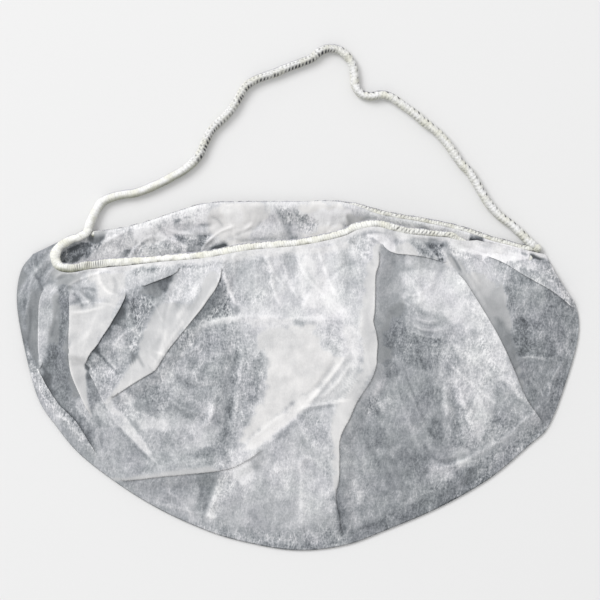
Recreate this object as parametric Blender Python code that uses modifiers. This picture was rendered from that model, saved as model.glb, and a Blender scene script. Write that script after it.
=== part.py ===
"""A disposable beard cover of white spunbond cloth, lying on its back panel.

One cut of cloth is folded along the bottom into a half-moon pouch. A covered
elastic runs round the mouth: along the front edge and round the left end to
where the head loop leaves it, and along the back edge. The head loop of the
same elastic lies above the mouth and is tacked down at the right end.

Frame: metres, +Z up, the table at Z = 0, +Y from the bottom fold to the mouth.
"""
import math
from collections import namedtuple

import bpy
from mathutils import Vector

# Driving sizes
POUCH_WIDTH = 0.265  # widest, from side to side
POUCH_DEPTH = 0.165  # from the back edge to the bottom fold
POUCH_LOFT = 0.019  # front panel above the table, between its folds
MOUTH_LIFT = 0.0125  # middle line of the front elastic at mid mouth, above the table
CLOTH_WALL = 0.001
CREASE_HEIGHT = 0.0019  # middle of the folded edge, above the table
ELASTIC_DIAMETER = 0.004
TACK_DIAMETER = 0.0048  # sewn lump that holds the right end of the head loop
TACK_HEIGHT = 0.0042
SEAT_GAP = 0.0003  # between pieces that lie on each other or meet end to end
EDGE_GAP = 0.0005  # between the cloth's cut edge and the elastic beside it
END_GAP = 0.0018  # the same where the cloth goes round the right end of the front elastic
RUFFLE_HEIGHT = 0.0012  # gathers along the elastic
RUFFLES = 15

# How fine the meshes are
PANEL_COLUMNS = 58
PANEL_ROWS = 18
ELASTIC_STEP = 0.0055
CURVE_STEPS = 10
TACK_RINGS = 8

HALF_WIDTH = POUCH_WIDTH / 2
HALF_DEPTH = POUCH_DEPTH / 2
ELASTIC_RADIUS = ELASTIC_DIAMETER / 2

# Spots on the table: across is a share of half the width, along of half the depth.
# Lift goes from 0, lying on the back panel's cloth, to 1 at MOUTH_LIFT.
Spot = namedtuple("Spot", "across along lift", defaults=(0.0,))

BOTTOM_FOLD = (  # from the right end to the left
    Spot(0.945, 0.510),
    Spot(0.990, 0.395),
    Spot(0.997, 0.230),
    Spot(0.957, -0.015),
    Spot(0.895, -0.285),
    Spot(0.826, -0.400),
    Spot(0.684, -0.590),
    Spot(0.507, -0.755),
    Spot(0.312, -0.890),
    Spot(0.170, -0.972),
    Spot(0.010, -1.000),
    Spot(-0.150, -0.966),
    Spot(-0.326, -0.886),
    Spot(-0.540, -0.721),
    Spot(-0.752, -0.481),
    Spot(-0.858, -0.288),
    Spot(-0.926, -0.117),
    Spot(-0.978, 0.200),
    Spot(-1.000, 0.430),
    Spot(-0.985, 0.600),
    Spot(-0.940, 0.695),
)
FRONT_EDGE = (  # from the right end, round the left end, to where the head loop leaves
    Spot(0.837, 0.664),
    Spot(0.788, 0.681),
    Spot(0.734, 0.701, 0.04),
    Spot(0.678, 0.715, 0.12),
    Spot(0.626, 0.735, 0.25),
    Spot(0.575, 0.766, 0.42),
    Spot(0.543, 0.797, 0.52),
    Spot(0.490, 0.806, 0.63),
    Spot(0.405, 0.818, 0.77),
    Spot(0.351, 0.835, 0.84),
    Spot(0.280, 0.862, 0.92),
    Spot(0.216, 0.846, 0.97),
    Spot(0.152, 0.803, 1.00),
    Spot(0.010, 0.755, 1.00),
    Spot(-0.170, 0.732, 0.96),
    Spot(-0.326, 0.695, 0.87),
    Spot(-0.475, 0.670, 0.72),
    Spot(-0.628, 0.661, 0.50),
    Spot(-0.734, 0.647, 0.32),
    Spot(-0.805, 0.630, 0.22),
    Spot(-0.849, 0.644, 0.16),
    Spot(-0.863, 0.690, 0.10),
    Spot(-0.851, 0.735, 0.05),
    Spot(-0.819, 0.766),
    Spot(-0.770, 0.795),
    Spot(-0.745, 0.820),
    Spot(-0.7345, 0.857),
)
LEFT_TURN = Spot(-0.840, 0.750)  # where the cloth's front edge becomes its back edge
UNDERPASS_END = Spot(-0.770, 0.795)  # the cloth runs under the elastic from the turn to here
BACK_EDGE = (  # from the left end to the right, lying on the table
    Spot(-0.716, 0.800),
    Spot(-0.663, 0.815),
    Spot(-0.559, 0.849),
    Spot(-0.443, 0.909),
    Spot(-0.326, 0.964),
    Spot(-0.167, 0.974),
    Spot(0.011, 0.975),
    Spot(0.099, 0.979),
    Spot(0.206, 0.965),
    Spot(0.316, 0.917),
    Spot(0.451, 0.880),
    Spot(0.587, 0.832),
    Spot(0.688, 0.777),
    Spot(0.756, 0.749),
    Spot(0.805, 0.727),
)
RIGHT_CORNER = Spot(0.884, 0.690)  # where the cloth's cut edge turns from back to front
TACK = Spot(0.853, 0.727)

# Head loop, in metres on the table, from the left end of the mouth to the tack
HEAD_LOOP = (
    (-0.0972, 0.0710),
    (-0.0957, 0.0742),
    (-0.0935, 0.0783),
    (-0.0905, 0.0818),
    (-0.0840, 0.0843),
    (-0.0750, 0.0858),
    (-0.0660, 0.0893),
    (-0.0570, 0.0939),
    (-0.0498, 0.0987),
    (-0.0456, 0.1043),
    (-0.0433, 0.1097),
    (-0.0397, 0.1161),
    (-0.0335, 0.1222),
    (-0.0300, 0.1264),
    (-0.0269, 0.1317),
    (-0.0238, 0.1363),
    (-0.0188, 0.1394),
    (-0.0120, 0.1418),
    (-0.0024, 0.1456),
    (0.0061, 0.1489),
    (0.0110, 0.1525),
    (0.0153, 0.1540),
    (0.0204, 0.1528),
    (0.0248, 0.1485),
    (0.0268, 0.1425),
    (0.0272, 0.1370),
    (0.0300, 0.1326),
    (0.0348, 0.1313),
    (0.0395, 0.1321),
    (0.0440, 0.1310),
    (0.0494, 0.1274),
    (0.0545, 0.1238),
    (0.0605, 0.1187),
    (0.0655, 0.1148),
    (0.0703, 0.1096),
    (0.0741, 0.1032),
    (0.0772, 0.0989),
    (0.0800, 0.0962),
    (0.0832, 0.0915),
    (0.0865, 0.0855),
    (0.0904, 0.0797),
    (0.0952, 0.0746),
    (0.1005, 0.0706),
    (0.1058, 0.0663),
    (0.1108, 0.0618),
)
LOOP_LANDING = 0.012  # length over which the loop's left end comes down to the table
EDGE_LANDING = 0.010  # length over which the front cut edge comes down at each end of the mouth

# Folds of the front panel. Each rises over its gentle width and drops over its steep one.
# Widths are shares of half the width, and height of the loft. The steep side is the left
# or right one, looking along the run.
Fold = namedtuple("Fold", "name gentle steep side height run")
FOLDS = (
    Fold("left_outer_pleat", 0.070, 0.050, "left", 0.20, (
        Spot(-0.851, 0.600), Spot(-0.887, 0.328), Spot(-0.905, 0.000),
    )),
    Fold("left_broad_pleat", 0.170, 0.070, "left", 0.34, (
        Spot(-0.582, 0.620), Spot(-0.614, 0.459), Spot(-0.717, 0.162), Spot(-0.727, -0.248),
    )),
    Fold("diagonal_pleat", 0.130, 0.100, "left", 0.34, (
        Spot(-0.280, 0.640), Spot(-0.348, 0.365), Spot(-0.525, 0.003), Spot(-0.700, -0.210),
    )),
    Fold("lower_left_strip", 0.100, 0.080, "right", 0.18, (
        Spot(-0.720, -0.150), Spot(-0.592, -0.299), Spot(-0.450, -0.560),
    )),
    Fold("bottom_sweep", 0.150, 0.130, "right", 0.30, (
        Spot(-0.638, -0.595), Spot(-0.300, -0.540), Spot(-0.103, -0.387), Spot(0.060, -0.160),
        Spot(0.213, 0.071),
    )),
    Fold("centre_fold", 0.160, 0.080, "left", 0.36, (
        Spot(0.291, 0.780), Spot(0.277, 0.430), Spot(0.280, 0.080), Spot(0.149, -0.333),
        Spot(0.140, -0.850),
    )),
    Fold("right_broad_pleat", 0.180, 0.090, "left", 0.36, (
        Spot(0.460, 0.740), Spot(0.525, 0.641), Spot(0.642, 0.430), Spot(0.731, 0.179),
        Spot(0.850, -0.200),
    )),
    Fold("right_top_fold", 0.080, 0.060, "right", 0.26, (
        Spot(0.620, 0.680), Spot(0.784, 0.590), Spot(0.975, 0.367),
    )),
)
FOLD_TAPER = 0.16  # share of a fold's run over which each end dies away
FOLD_SINK = 0.06  # the panel lies this share of the loft lower between folds

# Rows of the panels, as shares of the way from the cut edge to the bottom fold
CREST_ROW = 0.35
FOLD_FADE_ROWS = 0.10
RUFFLE_START_ROWS = 0.10
RUFFLE_END_ROWS = 0.34
CREASE_RISE_ROWS = 0.06
FALL_POWER = 1.8
FULLNESS_POWER = 0.6
BACK_FULLNESS_POWER = 2


def smooth(x):
    x = max(0.0, min(1.0, x))
    return x * x * (3 - 2 * x)


def mix(a, b, share):
    return a + (b - a) * share


def on_table(spot, height=0.0):
    return Vector((spot.across * HALF_WIDTH, spot.along * HALF_DEPTH, height))


def curve_through(points):
    """A smooth dense line through all the points."""
    ends = [points[0] * 2 - points[1], *points, points[-1] * 2 - points[-2]]
    line = []
    for before, a, b, after in zip(ends, ends[1:], ends[2:], ends[3:]):
        for step in range(CURVE_STEPS):
            t = step / CURVE_STEPS
            linear = (b - before) * t
            square = (2 * before - 5 * a + 4 * b - after) * t**2
            cube = (3 * a - before - 3 * b + after) * t**3
            line.append((2 * a + linear + square + cube) / 2)
    line.append(points[-1])
    return line


def length_of(line):
    return sum((b - a).length for a, b in zip(line, line[1:]))


def spaced(line, count):
    """The line again, as count + 1 points evenly spaced along it."""
    lengths = [0.0]
    for a, b in zip(line, line[1:]):
        lengths.append(lengths[-1] + (b - a).length)
    points = []
    k = 0
    for i in range(count + 1):
        at = lengths[-1] * i / count
        while k < len(line) - 2 and lengths[k + 1] < at:
            k += 1
        points.append(line[k].lerp(line[k + 1], (at - lengths[k]) / (lengths[k + 1] - lengths[k])))
    return points


def nearest_index(line, spot):
    target = on_table(spot).xy
    return min(range(len(line)), key=lambda i: (line[i].xy - target).length)


def left_of(a, b):
    """Level direction on the left hand, going from a to b."""
    return Vector((a.y - b.y, b.x - a.x, 0)).normalized()


def front_elastic_line():
    seat = ELASTIC_RADIUS + CLOTH_WALL + SEAT_GAP
    return curve_through([on_table(spot, mix(seat, MOUTH_LIFT, spot.lift)) for spot in FRONT_EDGE])


def back_elastic_line():
    return curve_through([on_table(spot, ELASTIC_RADIUS) for spot in BACK_EDGE])


def head_loop_line(start_height):
    line = curve_through([Vector((x, y, ELASTIC_RADIUS)) for x, y in HEAD_LOOP])
    for point in line:
        away = (point.xy - line[0].xy).length / LOOP_LANDING
        point.z = mix(start_height, ELASTIC_RADIUS, smooth(away))
    return line


def add_elastic(name, line, material, collection):
    """A round covered elastic along a line, with filled ends."""
    points = spaced(line, round(length_of(line) / ELASTIC_STEP))
    points = [line[0], line[1], *points[1:-1], line[-2], line[-1]]
    curve = bpy.data.curves.new(name, "CURVE")
    curve.dimensions = "3D"
    spline = curve.splines.new("POLY")
    spline.points.add(len(points) - 1)
    for spot, point in zip(spline.points, points):
        spot.co = (*point, 1.0)
    curve.bevel_depth = ELASTIC_RADIUS
    curve.bevel_resolution = 2
    curve.use_fill_caps = True
    curve.materials.append(material)
    elastic = bpy.data.objects.new(name, curve)
    collection.objects.link(elastic)


def add_tack(material, collection):
    """The sewn lump at the right end of the mouth, lying on the table."""
    bpy.ops.mesh.primitive_uv_sphere_add(
        segments=2 * TACK_RINGS, ring_count=TACK_RINGS, location=on_table(TACK, TACK_HEIGHT / 2)
    )
    tack = bpy.context.object
    tack.name = "right_tack"
    tack.scale = (TACK_DIAMETER / 2, TACK_DIAMETER / 2, TACK_HEIGHT / 2)
    tack.data.shade_smooth()
    tack.data.materials.append(material)
    for home in tack.users_collection:
        home.objects.unlink(tack)
    collection.objects.link(tack)


def front_cut_edge(front_line):
    """The cloth's cut edge from the right corner, beside the front elastic, to the left turn."""
    turn = nearest_index(front_line, LEFT_TURN)
    edge = [on_table(RIGHT_CORNER, CREASE_HEIGHT)]
    for a, b in zip(front_line[: turn + 1], front_line[1:]):
        gap = mix(END_GAP, EDGE_GAP, smooth((a - front_line[0]).length / EDGE_LANDING))
        edge.append(a + left_of(a, b) * (ELASTIC_RADIUS + gap))
    ends = (edge[0].copy(), edge[-1].copy())
    for point in edge:
        for end in ends:
            rise = smooth((point.xy - end.xy).length / EDGE_LANDING)
            point.z = mix(CREASE_HEIGHT, point.z, rise)
    return edge


def back_cut_edge(front_line, back_line, start):
    """The cloth's cut edge from the left turn, under the front elastic, to the right corner."""
    reach = ELASTIC_RADIUS + EDGE_GAP
    turn = nearest_index(front_line, LEFT_TURN)
    under = nearest_index(front_line, UNDERPASS_END)
    edge = [start]
    for i in range(turn + 1, under):
        passed = (i - turn) / (under - turn)
        point = front_line[i] + left_of(front_line[i], front_line[i + 1]) * reach * (1 - smooth(passed))
        point.z = mix(start.z, CLOTH_WALL / 2, smooth(2 * passed))
        edge.append(point)
    for a, b in zip(back_line, back_line[1:]):
        edge.append(a - left_of(a, b) * reach)
        edge[-1].z = CLOTH_WALL / 2
    edge.append(on_table(RIGHT_CORNER, CREASE_HEIGHT))
    return edge


def distance_beside(point, line):
    """How far a point lies left of a line on the table, and how far along it, as a share."""
    total = length_of(line)
    done = 0.0
    best = (math.inf, 0.0)
    for a, b in zip(line, line[1:]):
        step = b - a
        share = max(0.0, min(1.0, (point - a).dot(step) / step.length_squared))
        offset = point - (a + step * share)
        if offset.length < abs(best[0]):
            away = math.copysign(offset.length, step.x * offset.y - step.y * offset.x)
            best = (away, (done + step.length * share) / total)
        done += step.length
    return best


def fold_rise(point):
    """How far the folds lift the front panel at a point on the table."""
    rise = -FOLD_SINK * POUCH_LOFT
    for fold in FOLDS:
        away, along = distance_beside(point, [on_table(spot) for spot in fold.run])
        on_steep_side = (away > 0) == (fold.side == "left")
        width = HALF_WIDTH * (fold.steep if on_steep_side else fold.gentle)
        taper = smooth(along / FOLD_TAPER) * smooth((1 - along) / FOLD_TAPER)
        rise += fold.height * POUCH_LOFT * taper * smooth(1 - abs(away) / width)
    return rise


def ruffle(across, row):
    fade = smooth(row / RUFFLE_START_ROWS) * smooth(1 - row / RUFFLE_END_ROWS)
    return RUFFLE_HEIGHT * math.sin(2 * math.pi * RUFFLES * across) * fade


def front_point(start, end, across, row):
    """A point of the front panel, which rises to its crest and falls to the bottom fold."""
    fullness = math.sin(math.pi * across) ** FULLNESS_POWER
    crest = mix(CREASE_HEIGHT, POUCH_LOFT, fullness)
    if row < CREST_ROW:
        height = mix(start.z, crest, smooth(row / CREST_ROW))
    else:
        fall = (row - CREST_ROW) / (1 - CREST_ROW)
        height = mix(crest, CREASE_HEIGHT, fall**FALL_POWER)
    point = start.lerp(end, row)
    point.z = 0
    fade = smooth(row / FOLD_FADE_ROWS) * smooth((1 - row) / FOLD_FADE_ROWS) * fullness
    point.z = height + fold_rise(point) * fade + ruffle(across, row) * fullness
    return point


def back_point(start, end, across, row):
    """A point of the back panel, which lies on the table."""
    point = start.lerp(end, row)
    rise = max(0.0, 1 - (1 - row) / CREASE_RISE_ROWS)
    fullness = math.sin(math.pi * across) ** BACK_FULLNESS_POWER
    point.z = mix(CLOTH_WALL / 2, CREASE_HEIGHT, rise) + abs(ruffle(across, row)) * fullness
    return point


def pouch_points(front_line, back_line):
    """Rows of points from the cut edge to the bottom fold, for both panels.

    The panels share the points of their side edges and of the bottom fold.
    """
    front_edge = front_cut_edge(front_line)
    back_edge = back_cut_edge(front_line, back_line, front_edge[-1])
    front_starts = spaced(front_edge, PANEL_COLUMNS)
    back_starts = spaced(back_edge[::-1], PANEL_COLUMNS)
    crease = spaced(
        curve_through([on_table(spot, CREASE_HEIGHT) for spot in BOTTOM_FOLD]), PANEL_COLUMNS
    )
    front, back = [], []
    for j in range(PANEL_ROWS + 1):
        row = j / PANEL_ROWS
        for i, (front_start, back_start, end) in enumerate(zip(front_starts, back_starts, crease)):
            across = i / PANEL_COLUMNS
            if i in (0, PANEL_COLUMNS) or j == PANEL_ROWS:
                front.append(front_start.lerp(end, row))
                back.append(front[-1])
            elif j == 0:
                front.append(front_start)
                back.append(back_start)
            else:
                front.append(front_point(front_start, end, across, row))
                back.append(back_point(back_start, end, across, row))
    return front, back


def add_pouch(front_line, back_line, material, collection):
    """The half-moon pouch: an open surface with a wall."""
    front, back = pouch_points(front_line, back_line)
    points = list(front)
    back_numbers = []
    for number, point in enumerate(back):
        if point is front[number]:
            back_numbers.append(number)
        else:
            back_numbers.append(len(points))
            points.append(point)
    wide = PANEL_COLUMNS + 1
    faces = []
    for j in range(PANEL_ROWS):
        for i in range(PANEL_COLUMNS):
            corner = j * wide + i
            corners = (corner, corner + 1, corner + wide + 1, corner + wide)
            faces.append(corners[::-1])
            faces.append([back_numbers[number] for number in corners])
    mesh = bpy.data.meshes.new("pouch")
    mesh.from_pydata(points, [], faces)
    mesh.shade_smooth()
    mesh.materials.append(material)
    pouch = bpy.data.objects.new("pouch", mesh)
    collection.objects.link(pouch)
    wall = pouch.modifiers.new("cloth_wall", "SOLIDIFY")
    wall.thickness = CLOTH_WALL
    wall.offset = 0.0


def new_material(name, colour, roughness):
    material = bpy.data.materials.new(name)
    material.use_nodes = True
    shader = material.node_tree.nodes["Principled BSDF"]
    shader.inputs["Base Color"].default_value = (*colour, 1.0)
    shader.inputs["Roughness"].default_value = roughness
    shader.inputs["Metallic"].default_value = 0.0
    return material


def main():
    for thing in list(bpy.data.objects):
        bpy.data.objects.remove(thing)
    collection = bpy.data.collections.new("beard_cover")
    bpy.context.scene.collection.children.link(collection)
    cloth = new_material("spunbond_cloth", (0.78, 0.80, 0.81), 0.75)
    elastic = new_material("covered_elastic", (0.88, 0.88, 0.84), 0.65)

    front_line = front_elastic_line()
    back_line = back_elastic_line()
    add_pouch(front_line, back_line, cloth, collection)
    add_elastic("front_elastic", front_line, elastic, collection)
    add_elastic("back_elastic", back_line, elastic, collection)
    add_elastic("head_loop", head_loop_line(front_line[-1].z), elastic, collection)
    add_tack(elastic, collection)


main()
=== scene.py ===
import math
from collections import namedtuple

import bpy
import numpy as np
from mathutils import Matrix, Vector


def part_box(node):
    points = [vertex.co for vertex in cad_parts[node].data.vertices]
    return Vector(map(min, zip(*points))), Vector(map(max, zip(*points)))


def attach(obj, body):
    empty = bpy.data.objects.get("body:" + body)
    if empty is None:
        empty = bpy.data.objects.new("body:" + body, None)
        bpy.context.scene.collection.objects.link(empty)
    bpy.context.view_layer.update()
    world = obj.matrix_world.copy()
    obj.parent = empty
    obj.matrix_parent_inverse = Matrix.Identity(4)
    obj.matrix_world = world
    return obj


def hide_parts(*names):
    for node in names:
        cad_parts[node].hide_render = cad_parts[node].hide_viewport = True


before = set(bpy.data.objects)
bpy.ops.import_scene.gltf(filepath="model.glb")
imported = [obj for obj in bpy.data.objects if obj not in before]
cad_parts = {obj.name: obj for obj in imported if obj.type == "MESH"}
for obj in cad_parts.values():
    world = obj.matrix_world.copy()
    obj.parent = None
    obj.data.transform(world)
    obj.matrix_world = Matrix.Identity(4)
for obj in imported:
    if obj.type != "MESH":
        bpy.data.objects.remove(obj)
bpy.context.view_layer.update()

# A disposable beard cover lying on its back panel: one sheet of white spunbond cloth folded
# along the bottom, covered elastic round the mouth, and a head loop of knitted cord.
# Sizes are in millimetres, and metres = mm * size. Sizes of noise and bumps in a finish are in
# metres. The table top is at 0.

mm = 0.001
elasticRadius = 2.0
seatHeight = 3.3  # middle of the front elastic where it lies on the back panel

camera = {
    "lens": 180.0,
    "sensor": 36.0,
    "middle": (1.4, 35.5),
    "seenWidth": 282.0,  # width of the table in the picture
    "scaleHeight": 4.0,  # height above the table that is to scale
    "clip": (0.05, 20.0),
}

light = {
    "place": (-2.1, 1.9, 2.75),
    "size": 2.0,
    "watts": 92.0,
    "fill": 0.735,
    "tableSize": 8.0,
    "tableColour": (0.77, 0.77, 0.77),
    "tableRoughness": 0.9,
}


def addCamera():
    lens = bpy.data.cameras.new("camera")
    lens.lens = camera["lens"]
    lens.sensor_width = camera["sensor"]
    lens.dof.use_dof = False
    lens.clip_start, lens.clip_end = camera["clip"]
    holder = bpy.data.objects.new("camera", lens)
    bpy.context.scene.collection.objects.link(holder)
    distance = camera["seenWidth"] * mm * camera["lens"] / camera["sensor"]
    x, y = camera["middle"]
    holder.location = (x * mm, y * mm, camera["scaleHeight"] * mm + distance)
    bpy.context.scene.camera = holder
    print("camera above the cloth")


# Lines and places


def smooth(x):
    x = np.clip(x, 0.0, 1.0)
    return x * x * (3 - 2 * x)


def mix(a, b, share):
    return a + (b - a) * share


def curveThrough(points, steps=10):
    # a smooth line through all the points, with every column carried along
    points = np.array(points, float)
    ends = np.vstack([2 * points[0] - points[1], points, 2 * points[-1] - points[-2]])
    t = (np.arange(steps) / steps)[:, None]
    line = []
    for before, a, b, after in zip(ends, ends[1:], ends[2:], ends[3:]):
        square = (2 * before - 5 * a + 4 * b - after) * t**2
        cube = (3 * a - before - 3 * b + after) * t**3
        line.append((2 * a + (b - before) * t + square + cube) / 2)
    return np.vstack([*line, points[-1:]])


def lengthsAlong(line, columns=3):
    steps = np.linalg.norm(np.diff(line[:, :columns], axis=0), axis=1)
    return np.concatenate([[0.0], np.cumsum(steps)])


def spaced(line, count):
    # the line again, as count + 1 points evenly spaced along it
    at = lengthsAlong(line)
    wanted = np.linspace(0, at[-1], count + 1)
    return np.column_stack([np.interp(wanted, at, column) for column in line.T])


def leftOf(line):
    # level directions on the left hand, going along the line
    ahead = np.gradient(line[:, :2], axis=0)
    ahead /= np.linalg.norm(ahead, axis=1)[:, None]
    return np.column_stack([-ahead[:, 1], ahead[:, 0]])


def besideLine(spots, line):
    # for each spot: distance left of the line, share of the way along it, and the left direction
    at = lengthsAlong(line, 2)
    nearest = np.full(len(spots), np.inf)
    away = np.zeros(len(spots))
    share = np.zeros(len(spots))
    for a, b, done in zip(line[:, :2], line[1:, :2], at):
        step = b - a
        length = np.hypot(*step)
        t = np.clip((spots - a) @ step / length**2, 0, 1)
        offset = spots - a - t[:, None] * step
        gap = np.hypot(offset[:, 0], offset[:, 1])
        nearer = gap < nearest
        side = np.sign(step[0] * offset[:, 1] - step[1] * offset[:, 0])
        nearest[nearer] = gap[nearer]
        away[nearer] = (gap * side)[nearer]
        share[nearer] = (done + t[nearer] * length) / at[-1]
    left = leftOf(line)
    direction = np.column_stack([np.interp(share, at / at[-1], column) for column in left.T])
    return away, share, direction


def cloudNoise(x, y, cell, seed):
    # smooth random hills from -1 to 1, a cell apart
    size = 97
    hills = np.random.RandomState(seed).uniform(-1, 1, (size, size))
    u, v = x / cell, y / cell
    i, j = np.floor(u).astype(int), np.floor(v).astype(int)
    s, t = smooth(u - i), smooth(v - j)
    low = mix(hills[i % size, j % size], hills[(i + 1) % size, j % size], s)
    high = mix(hills[i % size, (j + 1) % size], hills[(i + 1) % size, (j + 1) % size], s)
    return mix(low, high, t)


# Finishes


class Wire:
    # one socket, so that shader maths reads as Python
    def __init__(self, finish, socket):
        self.finish = finish
        self.socket = socket

    def maths(self, operation, first, second=0.0):
        return self.finish.node("Math", {"operation": operation}, {0: first, 1: second})

    def __add__(self, other):
        return self.maths("ADD", self, other)

    def __radd__(self, other):
        return self.maths("ADD", other, self)

    def __sub__(self, other):
        return self.maths("SUBTRACT", self, other)

    def __rsub__(self, other):
        return self.maths("SUBTRACT", other, self)

    def __mul__(self, other):
        return self.maths("MULTIPLY", self, other)

    def __rmul__(self, other):
        return self.maths("MULTIPLY", other, self)

    def __truediv__(self, other):
        return self.maths("DIVIDE", self, other)

    def __rtruediv__(self, other):
        return self.maths("DIVIDE", other, self)

    def least(self, other):
        return self.maths("MINIMUM", self, other)

    def most(self, other):
        return self.maths("MAXIMUM", self, other)

    def limited(self, high=1.0):
        return self.least(high).most(0.0)


class Finish:
    # a material that is built node by node
    def __init__(self, name, roughness, sheen=0.0, shine=0.25):
        self.material = bpy.data.materials.new(name)
        self.material.use_nodes = True
        self.tree = self.material.node_tree
        self.shader = self.tree.nodes["Principled BSDF"]
        self.shader.inputs["Roughness"].default_value = roughness
        self.shader.inputs["Sheen Weight"].default_value = sheen
        self.shader.inputs["Specular IOR Level"].default_value = shine

    def node(self, kind, settings=None, values=None, output=0):
        made = self.tree.nodes.new("ShaderNode" + kind)
        for name, value in (settings or {}).items():
            if name == "stops":
                self.setStops(made.color_ramp, value)
            else:
                setattr(made, name, value)
        for name, value in (values or {}).items():
            self.feed(made.inputs[name], value)
        return Wire(self, made.outputs[output])

    def setStops(self, ramp, stops):
        while len(ramp.elements) < len(stops):
            ramp.elements.new(1.0)
        for element, (place, colour) in zip(ramp.elements, stops):
            element.position = place
            element.color = (*colour, 1.0)

    def feed(self, socket, value):
        if isinstance(value, Wire):
            self.tree.links.new(value.socket, socket)
        elif socket.type == "RGBA":
            socket.default_value = (*value, 1.0)
        else:
            socket.default_value = value

    def read(self, name, output="Fac"):
        return self.node("Attribute", {"attribute_name": name}, output=output)

    def noise(self, vector, size, detail=2.0, roughness=0.5):
        values = {"Vector": vector, "Scale": 1 / size, "Detail": detail, "Roughness": roughness}
        return self.node("TexNoise", {}, values, "Fac")

    def colourBetween(self, share, low, high):
        values = {0: share, 6: low, 7: high}
        return self.node("Mix", {"data_type": "RGBA"}, values, 2)

    def scaled(self, vector, scale):
        return self.node("VectorMath", {"operation": "MULTIPLY"}, {0: vector, 1: scale})

    def bump(self, height, distance, strength):
        values = {"Height": height, "Distance": distance, "Strength": strength}
        return self.node("Bump", {}, values, "Normal")

    def paint(self, **sockets):
        for name, value in sockets.items():
            self.feed(self.shader.inputs[name.replace("_", " ")], value)
        return self.material


def addMesh(name, places, faces):
    mesh = bpy.data.meshes.new(name)
    mesh.from_pydata((np.asarray(places) * mm).tolist(), [], faces)
    mesh.shade_smooth()
    mesh.update()
    piece = bpy.data.objects.new(name, mesh)
    bpy.context.scene.collection.objects.link(piece)
    return piece


def keep(piece, name, values):
    layer = piece.data.attributes.new(name, "FLOAT", "POINT")
    layer.data.foreach_set("value", np.asarray(values, np.float32).ravel())


def keepVector(piece, name, values):
    layer = piece.data.attributes.new(name, "FLOAT_VECTOR", "POINT")
    layer.data.foreach_set("vector", np.asarray(values, np.float32).ravel())


# Head loop: a limp knitted cord, laid on the table from the left end of the mouth to the right.
# Plain, shade and thicker are pairs of a length along the line and the value there: how little
# the stitches show, how much painted shade lies on the side turned away from the lamp, and how
# much is added to the radius.
# A row is a line of open holes between stitches: where it starts and ends, and how far round the
# cord it lies, in radians from the left side, at each length.

headLoop = {
    "route": (
        (-98.6, 68.0), (-97.5, 71.2), (-96.0, 74.7), (-94.0, 78.6), (-91.0, 82.1),
        (-84.5, 84.6), (-75.5, 86.1), (-66.5, 89.6), (-57.5, 94.2), (-50.2, 99.0), (-45.6, 104.3),
        (-43.3, 109.7), (-39.7, 116.1), (-33.5, 122.2), (-30.0, 126.4), (-26.9, 131.7),
        (-23.8, 136.3), (-18.8, 139.4), (-12.0, 141.8), (-2.4, 145.6), (6.1, 148.9),
        (11.0, 152.5), (15.3, 154.0), (20.4, 152.8), (24.8, 148.5), (26.8, 142.5),
        (27.2, 137.0), (30.0, 132.6), (34.8, 131.3), (39.5, 132.1), (44.0, 131.0),
        (49.4, 127.4), (54.5, 123.8), (60.5, 118.7), (65.5, 114.8), (70.3, 109.6),
        (74.5, 103.5), (77.6, 99.2), (80.4, 96.5), (83.6, 91.8), (86.9, 85.8),
        (90.8, 80.0), (95.6, 74.9), (100.9, 70.9), (106.0, 66.2), (110.0, 62.2),
        (112.6, 60.3),
    ),
    "landing": 12.0,  # length over which the left end comes down to the table
    "height": 2.2,  # of the cord's middle above the table
    "length": 295.0,
    "radius": 2.2,
    "columns": 8,  # columns of V-shaped stitches round the cord
    "pitch": 1.76,  # length of one stitch
    "slant": 0.9,
    "relief": 0.30,
    "columnGroove": 0.5,
    "bumps": 0.10,
    "ringsPerStitch": 9,
    "sides": 40,
    "plain": ((0, 0.95), (50, 0.9), (68, 0.0), (150, 0.0), (166, 0.45), (300, 0.45)),
    "shade": ((0, 0.6), (12, 0.9), (58, 1.1), (75, 0.6), (150, 0.55), (165, 0.6), (300, 0.6)),
    "thicker": ((0, 0), (300, 0)),
    "rows": (
        {"span": (62, 156), "side": ((0, 2.35), (300, 2.35)), "pitch": 1.76, "slant": 0.45,
         "reach": 0.60, "width": 0.50, "dark": 1.0},
        {"span": (60, 158), "side": ((0, 0.95), (300, 0.95)), "pitch": 2.0, "slant": 0.3,
         "reach": 0.22, "width": 0.36, "dark": 0.55},
        {"span": (152, 290), "side": ((0, 0.55), (300, 0.55)), "pitch": 2.9, "slant": -0.4,
         "reach": 0.34, "width": 0.50, "dark": 1.0},
        {"span": (156, 292), "side": ((0, 2.2), (300, 2.4)), "pitch": 1.8, "slant": 0.5,
         "reach": 0.30, "width": 0.34, "dark": 0.4},
    ),
}


stitches = {  # of the cord and the rims
    "strandPower": 0.6,  # the lower, the fuller each strand
    "grooveWidth": 0.12,  # share of a column
    "plainRelief": 0.12,  # share of the relief that is left where the stitches don't show
    "plainGap": 0.15,
    "holeDepth": 0.8,  # share of the relief
    "holeFade": 4.0,  # length over which a row of holes starts and ends
    "bumpSize": 2.0,
    "endRound": 0.02,  # share of the radius, squared, that the ends narrow to
}


def valueAt(at, table):
    return np.interp(at, *zip(*table))


def knit(turn, at, look):
    # height of the yarn, 0 to 1, in columns of V-shaped stitches
    across = (turn / (2 * math.pi) * look["columns"] + 0.5) % 1 - 0.5
    row = (at / look["pitch"] + look["slant"] * np.abs(across)) % 1
    strand = np.sin(math.pi * row) ** stitches["strandPower"]
    groove = np.exp(-(((0.5 - np.abs(across)) / stitches["grooveWidth"]) ** 2))
    return strand * (1 - look["columnGroove"] * groove)


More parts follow.
